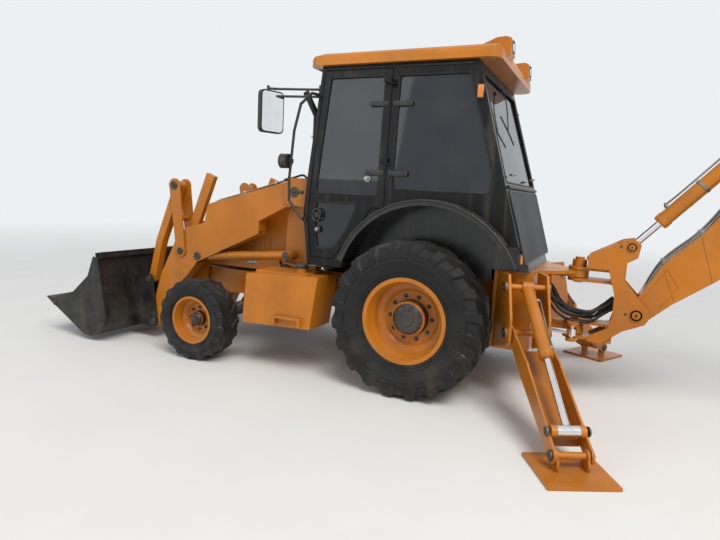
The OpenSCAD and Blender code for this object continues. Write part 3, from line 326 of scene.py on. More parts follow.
MATERIALS = {
    "orange": weathered("orange_paint", ORANGE, 0.40, 0.13, 0.34, coat=0.16, sheen=0.36),
    "black_panel": weathered("black_cab_paint", BLACK_PAINT, 0.22, 0.18, 0.30,
                             under=(0.10, 0.10, 0.10), mottle=0.3, sheen=0.20),
    "grey": weathered("worn_bucket_steel", WORN_GREY, 0.58, 0.26, 0.44, under=BARE_STEEL,
                      metal=0.30, mottle=0.4, edge=0.008),
    "rod": weathered("chromed_rod", CHROME, 0.0, 0.15, 0.10, metal=1.0, mottle=0.02, relief=0.02),
    "engine": weathered("engine_castings", CAST_DARK, 0.3, 0.6, 0.55, mottle=0.3),
    "axle": weathered("axle_castings", CAST_DARK, 0.3, 0.75, 0.55, mottle=0.3),
    "mirror": weathered("mirror_housing", PLASTIC_DARK, 0.1, 0.3, 0.5, under=(0.06, 0.06, 0.06)),
    "seat": rubber("seat_vinyl", (0.02, 0.02, 0.021), 0.25, 600.0),
    "lamp": drum_finish("lamp_drum", PLASTIC_DARK, (0.55, 0.56, 0.57)),
    "tyre": rubber("tyre_rubber", TYRE_RUBBER, 0.16),
    "glass": tinted_glass(),
}
# The fender's heavy dust on level faces is partly real dust and partly painted highlight: it pales the
# top of the arch where a glossy highlight falls.
FENDER = weathered("fender_moulding", (0.020, 0.020, 0.020), 0.10, 0.50, 0.24,
                   under=(0.07, 0.07, 0.07), mottle=0.2)
HUB_IRON = weathered("hub_iron", (0.026, 0.025, 0.025), 0.3, 0.55, 0.40, metal=0.3, mottle=0.3)
PINS = weathered("pin_steel", (0.085, 0.078, 0.072), 0.4, 0.45, 0.42, metal=0.7, mottle=0.3)
PIPES = weathered("steel_pipes", (0.24, 0.225, 0.20), 0.3, 0.40, 0.36, metal=0.8, mottle=0.2)
ZINC = weathered("plated_steel", (0.36, 0.35, 0.32), 0.2, 0.35, 0.34, metal=0.9, mottle=0.15)
FITTINGS = weathered("moulded_fittings", PLASTIC_DARK, 0.05, 0.30, 0.45, under=(0.06, 0.06, 0.06))
WORN_PANEL = weathered("worn_panel", (0.024, 0.027, 0.029), 0.5, 0.30, 0.60,
                       under=(0.15, 0.15, 0.15), mottle=0.35, relief=0.6, sheen=0.35)
MIRROR = mirror_finish()
HOSE = rubber("hose_rubber", (0.013, 0.013, 0.014), 0.35, 900.0)
SEALS = rubber("window_seals", (0.011, 0.011, 0.012), 0.30, 700.0)
CLEAR_LENS = lens_finish("clear_lens", (0.62, 0.64, 0.66))
AMBER = lens_finish("amber_lens", AMBER_LENS)
RED = lens_finish("red_lens", RED_LENS)


def dress_nodes():
    """Each CAD node takes the finish of its material slot in the record; the rear fenders take one of
    their own.
    """
    slots = {part["node"]: part["material_slot"] for part in frame["record"]["subparts"]}
    for name, obj in nodes.items():
        material = FENDER if name == "rear_fenders" else MATERIALS[slots[name]]
        if not obj.material_slots:
            obj.data.materials.append(material)
        for place in obj.material_slots:
            place.material = material


dress_nodes()

# Mesh tools for the small pieces; corners that lie closer than MERGE become one
SIDES = ((1, "left"), (-1, "right"))
MERGE = 0.00001


def add_object(name, data):
    obj = bpy.data.objects.new(name, data)
    bpy.context.scene.collection.objects.link(obj)
    return obj


def turns(count):
    """Angles of places spaced evenly round a circle."""
    return [math.tau * i / count for i in range(count)]


def around(angle, radius):
    """A step from a centre in the plane of the machine's side."""
    return Vector((math.cos(angle), 0, math.sin(angle))) * radius


def smooth_path(points, steps=6):
    """A smooth run of points through the given ones."""
    spots = [Vector(p) for p in points]
    ends = [spots[0] * 2 - spots[1]] + spots + [spots[-1] * 2 - spots[-2]]
    run = []
    for a, b, c, d in zip(ends, ends[1:], ends[2:], ends[3:]):
        for i in range(steps):
            t = i / steps
            run.append(0.5 * (2 * b + (c - a) * t + (2 * a - 5 * b + 4 * c - d) * t * t
                              + (3 * b - 3 * c + d - a) * t ** 3))
    run.append(spots[-1])
    return run


def loop_through(builder, run):
    """The edges of a closed loop through a run of points."""
    corners = [builder.verts.new(spot) for spot in run]
    return [builder.edges.new(pair) for pair in zip(corners, corners[1:] + corners[:1])]


def facing(spot, side, ahead):
    """A frame at a spot, its Z ahead and its X to the side."""
    turn = Matrix((side, ahead.cross(side), ahead)).transposed().to_4x4()
    return Matrix.Translation(spot) @ turn


def ring(builder, spot, normal, ahead, radius, sides):
    """The edges of a circle that faces ahead, with its first corner towards the normal."""
    made = bmesh.ops.create_circle(builder, segments=sides, radius=radius,
                                   matrix=facing(spot, normal.cross(ahead), ahead))["verts"]
    return list(dict.fromkeys(edge for corner in made for edge in corner.link_edges))


def tube(builder, points, radius, sides=10, closed=False):
    """A round tube along points, its ends capped unless it closes on itself."""
    spots = [Vector(p) for p in points]
    count = len(spots)
    normal = None
    rings = []
    for i, spot in enumerate(spots):
        before = spots[i - 1] if closed or i else spot
        after = spots[(i + 1) % count] if closed or i < count - 1 else spot
        ahead = (after - before).normalized()
        if normal is None:
            normal = ahead.orthogonal()
        normal = (normal - ahead * normal.dot(ahead)).normalized()
        rings.append(ring(builder, spot, normal, ahead, radius, sides))
    for first, second in zip(rings, rings[1:] + rings[:1] if closed else rings[1:]):
        bmesh.ops.bridge_loops(builder, edges=first + second)
    if not closed:
        bmesh.ops.edgeloop_fill(builder, edges=rings[0] + rings[-1])


def lathe(builder, profile, centre, axis, sides=32):
    """A turned piece; profile is (along the axis, radius) from one end to the other."""
    ahead = Vector(axis).normalized()
    others = set(builder.verts)
    corners = [builder.verts.new((radius, 0, along)) for along, radius in profile]
    edges = [builder.edges.new(pair) for pair in zip(corners, corners[1:])]
    bmesh.ops.spin(builder, geom=corners + edges, axis=(0, 0, 1), angle=math.tau, steps=sides,
                   use_merge=True)
    made = [corner for corner in builder.verts if corner not in others]
    bmesh.ops.transform(builder, verts=made,
                        matrix=facing(centre, ahead.orthogonal().normalized(), ahead))
    bmesh.ops.remove_doubles(builder, verts=made, dist=MERGE)


def slab(builder, low, high, rounding=0.004):
    """A block with rounded edges."""
    made = bmesh.ops.create_cube(builder, size=1.0)["verts"]
    low, high = Vector(low), Vector(high)
    bmesh.ops.scale(builder, vec=high - low, verts=made)
    bmesh.ops.translate(builder, vec=(high + low) / 2, verts=made)
    edges = list({edge for corner in made for edge in corner.link_edges})
    bmesh.ops.bevel(builder, geom=edges, offset=rounding, segments=2, profile=0.5,
                    affect="EDGES", material=-1)


def side_slab(builder, s, low, high, rounding=0.004):
    """A block that is given for the left side, mirrored where s is -1."""
    near, far = sorted((low[1] * s, high[1] * s))
    slab(builder, (low[0], near, low[2]), (high[0], far, high[2]), rounding)


def bolt(builder, place, axis, size):
    """A washer and a hexagon head of that radius, standing off along the axis."""
    lathe(builder, [(0.0, 0.0), (0.0, size * 1.5), (size * 0.28, size * 1.45), (size * 0.28, 0.0)],
          place, axis, 18)
    lathe(builder, [(0.0, size), (size * 0.95, size), (size * 1.15, size * 0.84),
                    (size * 1.15, 0.0)], place, axis, 6)


def pin_head(builder, place, axis, radius):
    """The end of a pin: a chamfered collar, a sunk face and a bolt in the middle."""
    lathe(builder, [(0.0, radius), (0.008, radius), (0.012, radius * 0.92), (0.012, radius * 0.66),
                    (0.008, radius * 0.62), (0.008, 0.0)], place, axis, 28)
    bolt(builder, Vector(place) + Vector(axis).normalized() * 0.008, axis, radius * 0.24)


def piece(name, builder, material, body, crease=38.0):
    """A finished mesh that rides on a body, smooth but for creases sharper than an angle."""
    mesh = bpy.data.meshes.new(name)
    bmesh.ops.recalc_face_normals(builder, faces=builder.faces)
    builder.to_mesh(mesh)
    builder.free()
    for face in mesh.polygons:
        face.use_smooth = True
    mesh.set_sharp_from_angle(angle=math.radians(crease))
    mesh.materials.append(material)
    obj = add_object(name, mesh)
    if body:
        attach(obj, body)
    return obj


# Wheels by end: centre of the left one, its hub (radius, inner end, outer end), its nuts' ring
# (radius, how far out, nut size), how many nuts, and (radius, how far out) of rings in the wall
WHEELS = (
    ("rear", (-0.06, 0.85, 0.70), (0.158, -0.038, 0.072), (0.198, -0.040, 0.014), 10,
     ((0.405, 0.180), (0.432, 0.186), (0.560, 0.211))),
    ("front", (2.18, 0.99, 0.415), (0.078, -0.008, 0.062), (0.116, -0.010, 0.012), 8,
     ((0.258, 0.126), (0.276, 0.132), (0.340, 0.144))))


def wheel_details(body, centre, s, hub, nut_ring, nuts, beads):
    radius, inner, outer = hub
    axis = Vector((0, s, 0))
    builder = bmesh.new()
    lathe(builder, [(inner, radius * 1.03), (inner + 0.012, radius * 1.03),
                    (outer - 0.035, radius * 0.97), (outer - 0.012, radius * 0.86),
                    (outer + 0.004, radius * 0.62), (outer + 0.004, radius * 0.40),
                    (outer + 0.014, radius * 0.36), (outer + 0.014, 0.0)], centre, axis, 48)
    for a in turns(8):
        spot = centre + axis * (outer - 0.006) + around(a + math.tau / 16, radius * 0.75)
        bolt(builder, spot, axis, radius * 0.06)
    piece(body + "_hub_cover", builder, HUB_IRON, body)
    builder = bmesh.new()
    pitch, out, size = nut_ring
    for a in turns(nuts):
        spot = centre + axis * out + around(a, pitch)
        bolt(builder, spot, axis, size)
        lathe(builder, [(0.0, size * 0.5), (size * 2.0, size * 0.5), (size * 2.2, size * 0.35),
                        (size * 2.2, 0.0)], spot, axis, 12)
    piece(body + "_nuts", builder, PINS, body)
    builder = bmesh.new()
    for bead, out in beads:
        tube(builder, [centre + axis * out + around(a, bead) for a in turns(96)], 0.007, 8,
             closed=True)
    piece(body + "_wall_rings", builder, MATERIALS["tyre"], body)


def dress_wheels():
    for s, side in SIDES:
        for end, (x, y, z), *details in WHEELS:
            wheel_details("%s_wheel_%s" % (end, side), Vector((x, y * s, z)), s, *details)


# Pins: (body, X, Z, how far out, radius) of heads that stand on both outer faces
PIN_HEADS = (
    ("kingpost", -1.875, 0.845, 0.147, 0.052), ("kingpost", -1.785, 1.430, 0.147, 0.040),
    ("boom", -2.876, 2.659, 0.115, 0.042), ("boom", -3.688, 2.722, 0.115, 0.062),
    ("boom", -2.713, 1.885, 0.115, 0.040), ("dipper", -3.902, 3.077, 0.085, 0.036),
    ("hoe_bucket", -3.855, 1.131, 0.110, 0.044), ("dipper", -3.837, 1.401, 0.107, 0.036),
    ("frame", 1.250, 1.755, 0.722, 0.050), ("frame", 1.340, 1.115, 0.699, 0.042),
    ("loader_arms", 2.682, 1.051, 0.722, 0.040), ("loader_arms", 2.463, 1.013, 0.700, 0.044),
    ("tilt_levers", 2.773, 1.761, 0.723, 0.044), ("loader_bucket", 3.080, 0.200, 0.723, 0.044),
    ("loader_bucket", 3.140, 0.690, 0.723, 0.040))
# Pins that a keeper plate holds, with the side on which it lies
KEEPERS = (("kingpost", -1.875, 0.845, 0.138, 1), ("frame", 1.250, 1.755, 0.722, -1),
           ("kingpost", -1.785, 1.430, 0.138, 1))
# A leg in its own frame: places are (out along it, up) from its pivot
LEG_PIVOT = Vector((-1.060, 0.790, 0.700))
LEG_SPLAY = math.radians(28.0)
LEG_FOOT = Vector((0.995, -0.580))
LEG_RAM_TOP = (-0.080, 0.370)
LEG_RAM_END = (0.459, -0.076)


def leg_point(out, across, up, s):
    """A point out along a leg, across it and up from its pivot, on the side of s."""
    c, q = math.cos(LEG_SPLAY), math.sin(LEG_SPLAY)
    spot = LEG_PIVOT + Vector((-q * out - c * across, c * out - q * across, up))
    return Vector((spot.x, spot.y * s, spot.z))


def leg_pins(builder, place, half, radius, s):
    """The two heads of a pin across a leg."""
    out, up = place
    middle = leg_point(out, 0, up, s)
    for way in (-1, 1):
        spot = leg_point(out, half * way, up, s)
        pin_head(builder, spot, spot - middle, radius)


def dress_pins():
    made = {}
    for body, x, z, out, radius in PIN_HEADS:
        builder = made.setdefault(body, bmesh.new())
        for s, _ in SIDES:
            pin_head(builder, (x, out * s, z), (0, s, 0), radius)
    for body, x, z, out, way in KEEPERS:
        for s, _ in SIDES:
            slab(made[body], (min(x, x + 0.105 * way), out * s - 0.004, z - 0.017),
                 (max(x, x + 0.105 * way), out * s + 0.004, z + 0.017), 0.003)
            bolt(made[body], (x + 0.085 * way, (out + 0.004) * s, z), (0, s, 0), 0.011)
    along = LEG_FOOT.normalized()
    ram_foot = along * (LEG_FOOT.length - 0.140) + Vector((-along.y, along.x)) * 0.070
    for s, side in SIDES:
        leg_pins(made["frame"], (0.0, 0.0), 0.185, 0.046, s)
        leg_pins(made["frame"], LEG_RAM_TOP, 0.185, 0.038, s)
        leg, pad = bmesh.new(), bmesh.new()
        leg_pins(leg, ram_foot, 0.142, 0.036, s)
        leg_pins(pad, LEG_FOOT, 0.140, 0.036, s)
        piece("leg_pins_" + side, leg, PINS, "leg_" + side)
        piece("pad_pins_" + side, pad, PINS, "pad_" + side)
    for body, builder in made.items():
        piece(body + "_pin_heads", builder, PINS, body)


# Radii of pipes and hoses
PIPE = 0.008
FEED_PIPE = 0.0085
WIDE_HOSE = 0.013
MAIN_HOSE = 0.011
FINE_HOSE = 0.010
# Places on the boom, from its pivot along it and up from its line
BOOM_PIVOT = (-1.875, 0.845)
BOOM_ANGLE = math.radians(46.0)
BOOM_PIPE = ((-0.02, 0.085), (0.12, 0.10), (0.45, 0.218), (0.82, 0.222), (1.13, 0.280),
             (1.42, 0.376), (1.72, 0.510))
BOOM_CLIPS = ((0.45, 0.210), (0.82, 0.214), (1.13, 0.270), (1.42, 0.366))
# Hoses through the kingpost: how far left, how high they start, how much lower they sag
KINGPOST_HOSES = (
    (0.150, 1.00, -0.005), (0.118, 0.93, -0.05), (0.085, 1.02, -0.10), (0.052, 0.95, -0.03),
    (-0.052, 1.01, -0.08), (-0.085, 0.93, -0.02), (-0.118, 1.00, -0.06), (-0.150, 0.95, -0.09))


def boom_point(along, up, y):
    c, q = math.cos(BOOM_ANGLE), math.sin(BOOM_ANGLE)
    return BOOM_PIVOT[0] - along * c + up * q, y, BOOM_PIVOT[1] + along * q + up * c


def hose(name, points, radius):
    """A hose along a smooth run through points from one body to another, with a fitting at each end;
    it rides on no body.
    """
    builder = bmesh.new()
    tube(builder, smooth_path(points), radius)
    for end, inward in ((points[0], points[1]), (points[-1], points[-2])):
        ahead = (Vector(inward) - Vector(end)).normalized()
        lathe(builder, [(-0.004, 0.0), (-0.004, radius * 1.45), (0.030, radius * 1.45),
                        (0.034, radius * 1.2), (0.060, radius * 1.2), (0.062, radius)],
              end, ahead, 10)
    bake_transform(piece(name, builder, HOSE, None))


def dress_hoses():
    # From the valves behind the cab, sagging through the kingpost to the boom's foot
    for i, (y, z, drop) in enumerate(KINGPOST_HOSES):
        hose("kingpost_hose_%d" % i,
             [(-1.045, y * 1.9, z), (-1.13, y * 1.8, z - 0.015), (-1.23, y * 1.35, z - 0.09 + drop),
              (-1.36, y * 1.05, z - 0.15 + drop), (-1.50, y * 0.8, z - 0.17 + drop * 0.6),
              (-1.60, y * 0.6, z - 0.13), (-1.68, y * 0.52, z - 0.06)], WIDE_HOSE)
    # Along the boom to its rams, and over the knuckle to the bucket's ram
    for s, side in SIDES:
        builder = bmesh.new()
        for lane in (0.078, 0.101):
            run = smooth_path([boom_point(u, v, lane * s) for u, v in BOOM_PIPE], 5)
            tube(builder, run, PIPE, 8)
        for u, v in BOOM_CLIPS:
            x, y, z = boom_point(u, v, 0.090 * s)
            slab(builder, (x - 0.014, y - 0.025, z - 0.014), (x + 0.014, y + 0.025, z + 0.026))
        piece("boom_pipes_" + side, builder, PIPES, "boom")
        hose("knuckle_hose_" + side,
             [boom_point(2.10, 0.665, 0.050 * s), boom_point(2.30, 0.66, 0.060 * s),
              (-3.66, 0.066 * s, 3.10), (-3.80, 0.062 * s, 3.12), (-3.90, 0.058 * s, 3.02)],
             MAIN_HOSE)
        # Feeds of the leg rams, beside the barrels
        run = [leg_point(*spot, s) for spot in
               ((-0.262, 0.060, 0.200), (-0.200, 0.078, 0.205), (-0.110, 0.100, 0.245),
                (-0.030, 0.106, 0.285), (0.028, 0.076, 0.280))]
        hose("leg_hose_" + side,
             run, FINE_HOSE)


# Cab: seals, handles, wipers, lamps and mirrors; windows are (X or Y, Z) corners
DOOR_UPPER = ((0.310, 2.800), (0.855, 2.800), (0.940, 1.760), (0.310, 1.760))
DOOR_LOWER = ((0.500, 1.680), (0.930, 1.680), (0.940, 1.560), (0.910, 1.240), (0.740, 1.240),
              (0.600, 1.430))
QUARTER = ((-0.440, 2.800), (0.180, 2.800), (0.180, 1.820), (-0.680, 1.820), (-0.700, 1.980))
WINDSCREEN = ((-0.740, 1.640), (0.740, 1.640), (0.700, 2.820), (-0.700, 2.820))
REAR_SCREEN = ((-0.770, 1.920), (0.770, 1.920), (0.725, 2.820), (-0.725, 2.820))
# The rear face leans by a run over a rise; the fender has its centre as (X, Z) and a lip radius
REAR_RUN = 0.515
REAR_RISE = 1.725
REAR_LEAN = math.atan2(REAR_RUN, REAR_RISE)
REAR_OUT = Vector((-math.cos(REAR_LEAN), 0.0, math.sin(REAR_LEAN)))
FENDER_AT = (-0.190, 0.900)
FENDER_LIP = 0.841


def side_out(z):
    """How far out the cab's outer skin lies at a height."""
    return 0.860 - max(0.0, z - 1.890) * 0.060 / 1.015


def rear_back(z):
    """X of the cab's leaning rear face at a height."""
    return -1.015 + (z - 1.180) * REAR_RUN / REAR_RISE


def front_ahead(z):
    """X of the windscreen's face at a height above the cowl."""
    return 1.060 - max(0.0, z - 1.560) * 0.120 / 1.345


def rounded_loop(corners, radius=0.035, steps=4):
    """A closed run of points along straight edges with rounded corners."""
    count = len(corners)
    run = []
    for i, corner in enumerate(corners):
        spot = Vector(corner)
        back = Vector(corners[i - 1]) - spot
        fore = Vector(corners[(i + 1) % count]) - spot
        start = spot + back.normalized() * min(radius, back.length / 3)
        end = spot + fore.normalized() * min(radius, fore.length / 3)
        for k in range(steps + 1):
            t = k / steps
            run.append((1 - t) ** 2 * start + 2 * t * (1 - t) * spot + t * t * end)
    return run


def seal(builder, corners, radius=0.009):
    tube(builder, rounded_loop(corners), radius, 6, closed=True)


def dress_windows():
    shell = bmesh.new()
    for s, side in SIDES:
        door = bmesh.new()
        for window in (DOOR_UPPER, DOOR_LOWER):
            seal(door, [(x, s * (side_out(z) - 0.006), z) for x, z in window])
        piece("door_seals_" + side, door, SEALS, "door_" + side)
        seal(shell, [(x, s * (side_out(z) - 0.006), z) for x, z in QUARTER])
    seal(shell, [(front_ahead(z) - 0.006, y, z) for y, z in WINDSCREEN], 0.011)
    seal(shell, [(rear_back(z) + 0.006, y, z) for y, z in REAR_SCREEN], 0.011)
    piece("cab_seals", shell, SEALS, "frame")


# Door fittings as (X, Z), the heights of the hinges, and the straps' (start, end) on each side
PULL_RING_AT = (0.905, 1.555)
LOCK_AT = (0.900, 1.420)
KNOB_AT = (0.420, 1.905)
HINGE_HEIGHTS = (2.560, 1.960)
DOOR_STRAP = (0.262, 0.440)
PILLAR_STRAP = (0.040, 0.218)
# Inside grab bar: its height, and (X, how deep inside the skin)
GRAB_Z = 1.720
GRAB_BAR = ((0.400, 0.070), (0.430, 0.105), (0.780, 0.105), (0.810, 0.070))


def dress_doors():
    for s, side in SIDES:
        metal, dark, pillar = (bmesh.new() for _ in range(3))
        # Pull ring, low on the leading edge, with the lock below it
        x, z = PULL_RING_AT
        face = s * (side_out(z) + 0.002)
        tube(dark, [(x + 0.042 * math.cos(a), face + s * 0.022, z + 0.055 * math.sin(a))
                    for a in turns(28)], 0.009, 8, closed=True)
        latch, lock = ((x, face, z) for x, z in (PULL_RING_AT, LOCK_AT))
        for place in (latch, lock):
            lathe(dark, [(0.0, 0.034), (0.010, 0.034), (0.016, 0.028), (0.016, 0.0)], place,
                  (0, s, 0), 24)
        lathe(metal, [(0.010, 0.016), (0.024, 0.016), (0.028, 0.012), (0.028, 0.0)], lock,
              (0, s, 0), 20)
        # Latch knob of the opening window
        x, z = KNOB_AT
        face = s * (side_out(z) - 0.016)
        lathe(metal, [(0.0, 0.030), (0.006, 0.030), (0.010, 0.024), (0.010, 0.012), (0.030, 0.010),
                      (0.030, 0.020), (0.044, 0.020), (0.048, 0.014), (0.048, 0.0)],
              (x, face, z), (0, s, 0), 24)
        # Straps of the hinges, on the door and on the pillar behind it
        for z in HINGE_HEIGHTS:
            y = s * (side_out(z) + 0.002)
            for (low, high), builder in ((DOOR_STRAP, dark), (PILLAR_STRAP, pillar)):
                slab(builder, (low, y - 0.004, z - 0.022), (high, y + 0.005, z + 0.022), 0.003)
                for x in (low + 0.030, high - 0.030):
                    bolt(builder, (x, y + s * 0.005, z), (0, s, 0), 0.007)
        bar = [(x, s * (side_out(GRAB_Z) - depth), GRAB_Z) for x, depth in GRAB_BAR]
        tube(dark, smooth_path(bar, 4), 0.011, 8)
        piece("door_handle_" + side, dark, FITTINGS, "door_" + side)
        piece("door_latches_" + side, metal, ZINC, "door_" + side)
        piece("hinge_straps_" + side, pillar, FITTINGS, "frame")


def wiper(builder, pivot, tip, lift, across):
    """An arm from its pivot to its tip with a blade centred on the tip."""
    start, end, blade = Vector(pivot), Vector(tip), Vector(across)
    lathe(builder, [(0.0, 0.022), (0.020, 0.020), (0.026, 0.0)], start - lift * 0.2, lift, 18)
    tube(builder, smooth_path([start + lift * 0.6, start.lerp(end, 0.4) + lift * 1.5,
                               end + lift * 0.9], 5), 0.006, 6)
    tube(builder, [end - blade + lift * 0.5, end + lift * 0.75, end + blade + lift * 0.5], 0.007, 6)


def front_lamp(rim, lens, centre, radius):
    """A round lamp's rim and its domed lens, facing ahead."""
    lathe(rim, [(-0.030, radius * 0.92), (0.0, radius), (0.010, radius), (0.012, radius * 0.92),
                (0.004, radius * 0.88), (0.002, 0.0)], centre, (1, 0, 0))
    lathe(lens, [(0.004, radius * 0.88), (0.012, radius * 0.80), (0.018, radius * 0.50),
                 (0.020, 0.0)], centre, (1, 0, 0))


# Middles of the left lamps
ROOF_REAR_LAMP = (-0.694, 0.482, 3.052)
ROOF_FRONT_LAMP = (1.066, 0.470, 2.843)
HOOP_LAMP = (1.279, 0.905, 2.040)
TAIL_LAMP = (-0.955, 0.700, 1.300)
PILLAR_LAMP_Z = 2.640


def on_side(place, s):
    x, y, z = place
    return x, y * s, z


def dress_lamps():
    housing, lens, amber, red = (bmesh.new() for _ in range(4))
    for s, _ in SIDES:
        # Square lamps sunk in the roof's rear hoods
        x, y, z = on_side(ROOF_REAR_LAMP, s)
        lathe(housing, [(-0.002, 0.055), (0.010, 0.058), (0.014, 0.054), (0.004, 0.048),
                        (0.002, 0.0)], (x, y, z), (-1, 0, 0), 28)
        slab(lens, (x - 0.016, y - 0.032, z - 0.032), (x - 0.004, y + 0.032, z + 0.032), 0.006)
        # Round lamps of the roof's front and of the hand hoops
        front_lamp(housing, lens, on_side(ROOF_FRONT_LAMP, s), 0.057)
        front_lamp(housing, amber, on_side(HOOP_LAMP, s), 0.069)
        # Side lamps on the rear pillars
        z = PILLAR_LAMP_Z
        x, y = rear_back(z) + 0.040, side_out(z) + 0.002
        side_slab(housing, s, (x - 0.030, y, z - 0.060), (x + 0.030, y + 0.014, z + 0.060), 0.005)
        side_slab(amber, s, (x - 0.024, y + 0.012, z - 0.052), (x + 0.024, y + 0.038, z + 0.052),
                  0.009)
        # Tail lamps on the rear shelves of the fenders
        x, y, z = on_side(TAIL_LAMP, s)
        slab(housing, (x, y - 0.075, z - 0.050), (x + 0.030, y + 0.075, z + 0.050), 0.005)
        slab(red, (x - 0.022, y - 0.068, z - 0.042), (x + 0.002, y + 0.004, z + 0.042), 0.008)
        slab(amber, (x - 0.022, y + 0.008, z - 0.042), (x + 0.002, y + 0.068, z + 0.042), 0.008)
    piece("lamp_housings", housing, FITTINGS, "frame")
    piece("lamp_lenses", lens, CLEAR_LENS, "frame")
    piece("amber_lenses", amber, AMBER, "frame")
    piece("tail_lenses", red, RED, "frame")


# Cab fittings: the panel's corners and the window handle as (Y, Z), heights, and the roof vent
REAR_PANEL = ((-0.760, 1.255), (0.760, 1.255), (0.770, 1.850), (-0.770, 1.850))
SILL_Z = 1.886
GUTTER_Z = 2.876
VENT_AT = (-0.200, 0.0, 3.067)
WINDOW_HANDLE_AT = (0.600, 1.985)


def dress_cab():
    shell, dark, panel = (bmesh.new() for _ in range(3))
    # Worn panel below the rear window, in a frame of its own
    corners = [Vector((rear_back(z) - 0.002, y, z)) for y, z in REAR_PANEL]
    both = loop_through(panel, corners) + loop_through(panel, [c + REAR_OUT * 0.008 for c in corners])
    bmesh.ops.bridge_loops(panel, edges=both)
    bmesh.ops.edgeloop_fill(panel, edges=both)
    piece("rear_panel", panel, WORN_PANEL, "frame", 30.0)
    seal(dark, [c + REAR_OUT * 0.004 for c in corners], 0.010)
    # Sill of the rear window, and the wipers of both screens
    tube(dark, [(rear_back(SILL_Z) - 0.012, y, SILL_Z) for y in (-0.800, 0.800)], 0.014, 8)
    wiper(dark, (rear_back(2.775) - 0.008, 0.060, 2.775), (rear_back(2.380) - 0.010, 0.300, 2.380),
          REAR_OUT * 0.020, (0.030, 0.200, 0.100))
    wiper(dark, (front_ahead(1.665) + 0.010, 0.260, 1.665),
          (front_ahead(2.100) + 0.010, -0.060, 2.100), Vector((0.020, 0.0, 0.004)),
          (-0.020, 0.130, 0.260))
    for s, _ in SIDES:
        # Handle of the rear window
        y, z = WINDOW_HANDLE_AT
        spot = Vector((rear_back(z), y * s, z)) + REAR_OUT * 0.004
        grip, inward = REAR_OUT * 0.040, Vector((0, -0.110 * s, 0))
        tube(shell, smooth_path([spot, spot + grip, spot + grip + inward, spot + inward], 5), 0.008, 8)
        # Rolled lip of the fender, gutter over the side, and bolts along the fender's rim
        middle = Vector((FENDER_AT[0], s, FENDER_AT[1]))
        tube(dark, [middle + around(math.radians(23 + 3.6 * i), FENDER_LIP) for i in range(38)],
             0.010, 8)
        y = s * (side_out(GUTTER_Z) + 0.004)
        tube(dark, [(x, y, GUTTER_Z) for x in (-0.460, 0.190)], 0.010, 6)
        for i in range(7):
            spot = middle + around(math.radians(38 + 16 * i), FENDER_LIP + 0.001)
            bolt(shell, spot - Vector((0, 0.003 * s, 0)), (0, s, 0), 0.007)
    # Vent of the roof with its slots
    lathe(dark, [(0.0, 0.165), (0.006, 0.160), (0.010, 0.120), (0.010, 0.0)], VENT_AT, (0, 0, 1), 40)
    for i in range(5):
        slab(shell, (-0.330 + i * 0.056, -0.090, 3.077), (-0.306 + i * 0.056, 0.090, 3.083), 0.002)
    piece("cab_fittings", dark, FITTINGS, "frame")
    piece("cab_metal", shell, ZINC, "frame")


# Where the left mirror hangs, how far it turns in, its half width and half height, and how far
# behind its middle its glass starts and ends
MIRROR_AT = (1.360, 1.010, 2.475)
MIRROR_TURN = math.radians(-17.0)
MIRROR_HALF = (0.122, 0.177)
MIRROR_DEPTHS = (0.029, 0.034)


def dress_mirrors():
    glass = bmesh.new()
    wide, tall = MIRROR_HALF
    run = rounded_loop([(0, -wide, -tall), (0, wide, -tall), (0, wide, tall), (0, -wide, tall)], 0.040)
    for s, _ in SIDES:
        turn = Matrix.Translation(on_side(MIRROR_AT, s)) @ Matrix.Rotation(MIRROR_TURN * s, 4, "Z")
        near, far = (loop_through(glass, [turn @ (p - Vector((depth, 0, 0))) for p in run])
                     for depth in MIRROR_DEPTHS)
        bmesh.ops.bridge_loops(glass, edges=near + far)
        bmesh.ops.edgeloop_fill(glass, edges=far)
    piece("mirror_glass", glass, MIRROR, "frame", 25.0)


def cushion(name, size, centre, turn, channels, crown):
    """A crowned seat pad: a soft block whose wide faces swell between sewn channels."""
    builder = bmesh.new()
    bmesh.ops.create_cube(builder, size=2.0)
    bmesh.ops.subdivide_edges(builder, edges=builder.edges[:], cuts=15, use_grid_fill=True)
    half = Vector(size) / 2
    for vert in builder.verts:
        x, y, z = vert.co
        swell = (1 - x ** 4) * (1 - y ** 4)
        groove = sum(math.exp(-((y - c) / 0.055) ** 2) for c in channels)
        groove += math.exp(-((abs(x) - 0.80) / 0.05) ** 2) * 0.7
        rise = z * half.z + math.copysign(crown * (swell - 0.38 * groove * min(1, swell * 3)), z) * (
            1 if abs(z) > 0.99 else abs(z))
        pull = 1 - 0.028 * (1 - abs(y)) - 0.012 * z * z
        tuck = 1 - 0.020 * (1 - abs(x)) - 0.012 * z * z
        vert.co = Vector((x * half.x * pull, y * half.y * tuck, rise))
    bmesh.ops.smooth_vert(builder, verts=builder.verts[:], factor=0.5, use_axis_x=True,
                          use_axis_y=True, use_axis_z=True)
    bmesh.ops.transform(builder, matrix=Matrix.Translation(centre) @ turn, verts=builder.verts[:])
    obj = piece(name, builder, MATERIALS["seat"], "frame", 60.0)
    rounded = obj.modifiers.new("rounded", "SUBSURF")
    rounded.levels = rounded.render_levels = 1


def dress_seat():
    flat = Matrix.Identity(4)
    cushion("seat_cushion", (0.505, 0.505, 0.135), Vector((0.030, 0.0, 1.510)), flat,
            (-0.45, 0.0, 0.45), 0.020)
    back = Matrix.Rotation(math.radians(-8.0), 4, "Y")
    middle = Vector((-0.260, 0.0, 1.540)) + back.to_3x3() @ Vector((0.055, 0.0, 0.278))
    upright = back @ Matrix.Rotation(math.radians(90.0), 4, "Y")
    cushion("seat_back", (0.565, 0.485, 0.135), middle, upright, (-0.45, 0.0, 0.45), 0.018)


